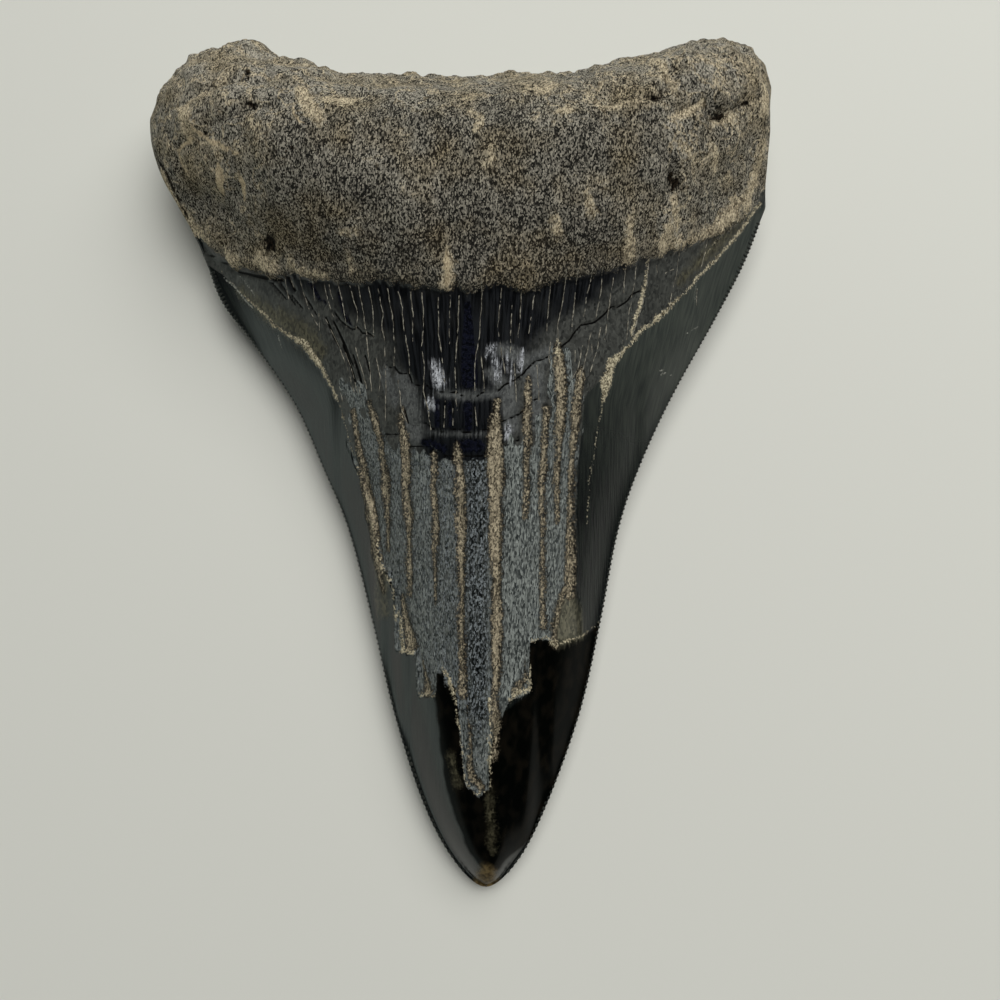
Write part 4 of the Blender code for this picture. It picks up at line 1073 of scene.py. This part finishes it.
path = add(tree, "GeometryNodeSetPosition", {
    "Geometry": path, "Offset": add(tree, "ShaderNodeCombineXYZ", (drift, 0.0, 0.0))})
down = (0.0, 0.0, -1.0)
hit = add(tree, "GeometryNodeRaycast", {
    "Target Geometry": target, "Ray Direction": down, "Ray Length": 2 * ABOVE * MM},
    "Hit Position")
drop = add(tree, "ShaderNodeCombineXYZ", (0.0, 0.0, given["Sink"]))
laid = add(tree, "ShaderNodeVectorMath", (hit, drop), operation="SUBTRACT")
path = add(tree, "GeometryNodeSetPosition", {"Geometry": path, "Position": laid})
swell = add(tree, "ShaderNodeTexNoise", {"Vector": spot, "Scale": 1 / (0.7 * MM), "Detail": 2.0})
swell = add(tree, "ShaderNodeMapRange", {
    "Value": swell, "From Min": 0.35, "From Max": 0.65, "To Min": 0.35, "To Max": 1.3})
radius = add(tree, "ShaderNodeMath", (swell, given["Half width"]), operation="MULTIPLY")
profile = add(tree, "GeometryNodeCurvePrimitiveCircle", {"Resolution": 6, "Radius": 1.0})
vein = add(tree, "GeometryNodeCurveToMesh", {
    "Curve": path, "Profile Curve": profile, "Scale": radius, "Fill Caps": True})
real = add(tree, "GeometryNodeRealizeInstances", {0: vein})
dressed = add(tree, "GeometryNodeSetMaterial", {"Geometry": real, "Material": given["Material"]})
add(tree, "NodeGroupOutput", {0: dressed})
build_with(veins, tree, {
    "Half width": VEIN_HALF_WIDTH * MM, "Sink": VEIN_SINK * MM, "Wander": VEIN_WANDER * MM,
    "Step": VEIN_STEP * MM, "Seed": 3, "Material": clay, "Tooth": tooth})
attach(veins, "root")
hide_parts("tooth")

# Table, light and camera ----------------------------------------------------------------
# A plain pale board under a wide soft light overhead. The room is dark above and bright
# low down on the left, which is what the polished enamel mirrors.

BOARD_SIZE = 3.0  # metres
LAMP_PLACE = (0.2, 0.28, 0.64)  # metres
LAMP_SIZE = 0.9
LAMP_WATTS = 7.8
VIEW_PLACE = (5.5, -37.63, 101.42)
VIEW_TILT = 15.0  # degrees from straight down
VIEW_LENS = 27.04

bpy.ops.mesh.primitive_plane_add(size=BOARD_SIZE)
table = bpy.context.object
table.name = "table"

# Painted board: matt and even, so that it shows only the tooth's soft shadow
board, tree, place = new_material("matt_pale_board", 1.45)
tree.nodes["Principled BSDF"].inputs["Base Color"].default_value = linear("#d6d6cd")
tree.nodes["Principled BSDF"].inputs["Roughness"].default_value = 0.9
table.data.materials.append(board)

world = bpy.data.worlds.new("soft_room")
bpy.context.scene.world = world
world.use_nodes = True
tree = world.node_tree
toward = add(tree, "ShaderNodeTexCoord", output="Generated")
sides = {}
for side, axis, start, end in (
    ("low", "Z", 0.3, 0.16), ("left", "X", 0.3, -0.4), ("behind", "Y", 0.25, 0.45),
):
    along_axis = add(tree, "ShaderNodeSeparateXYZ", {0: toward}, axis)
    sides[side] = add(tree, "ShaderNodeMapRange", {
        "Value": along_axis, "From Min": start, "From Max": end}, interpolation_type="SMOOTHSTEP")
lit = add(tree, "ShaderNodeMath", (sides["left"], sides["behind"]), operation="MAXIMUM")
walls = {0: lit, 6: linear("#1b1c1c"), 7: linear("#d3e1d8")}
walls = add(tree, "ShaderNodeMix", walls, 2, data_type="RGBA")
room = add(tree, "ShaderNodeMix", {0: sides["low"], 6: linear("#151619"), 7: walls}, 2, data_type="RGBA")
tree.links.new(room, tree.nodes["Background"].inputs["Color"])

overhead = bpy.data.lights.new("overhead", "AREA")
overhead.size = LAMP_SIZE
overhead.energy = LAMP_WATTS
lamp = bpy.data.objects.new("overhead", overhead)
lamp.location = LAMP_PLACE
lamp.rotation_euler = (-Vector(lamp.location)).to_track_quat("-Z", "Y").to_euler()
lamp.visible_glossy = False
bpy.context.scene.collection.objects.link(lamp)

camera = bpy.data.cameras.new("camera")
camera.lens = VIEW_LENS
camera.sensor_width = 36.0
camera.clip_start = 0.005
viewer = bpy.data.objects.new("camera", camera)
viewer.location = Vector(VIEW_PLACE) * MM
viewer.rotation_euler = (math.radians(VIEW_TILT), 0.0, 0.0)
bpy.context.scene.collection.objects.link(viewer)
bpy.context.scene.camera = viewer
bpy.context.scene.view_settings.view_transform = "Standard"
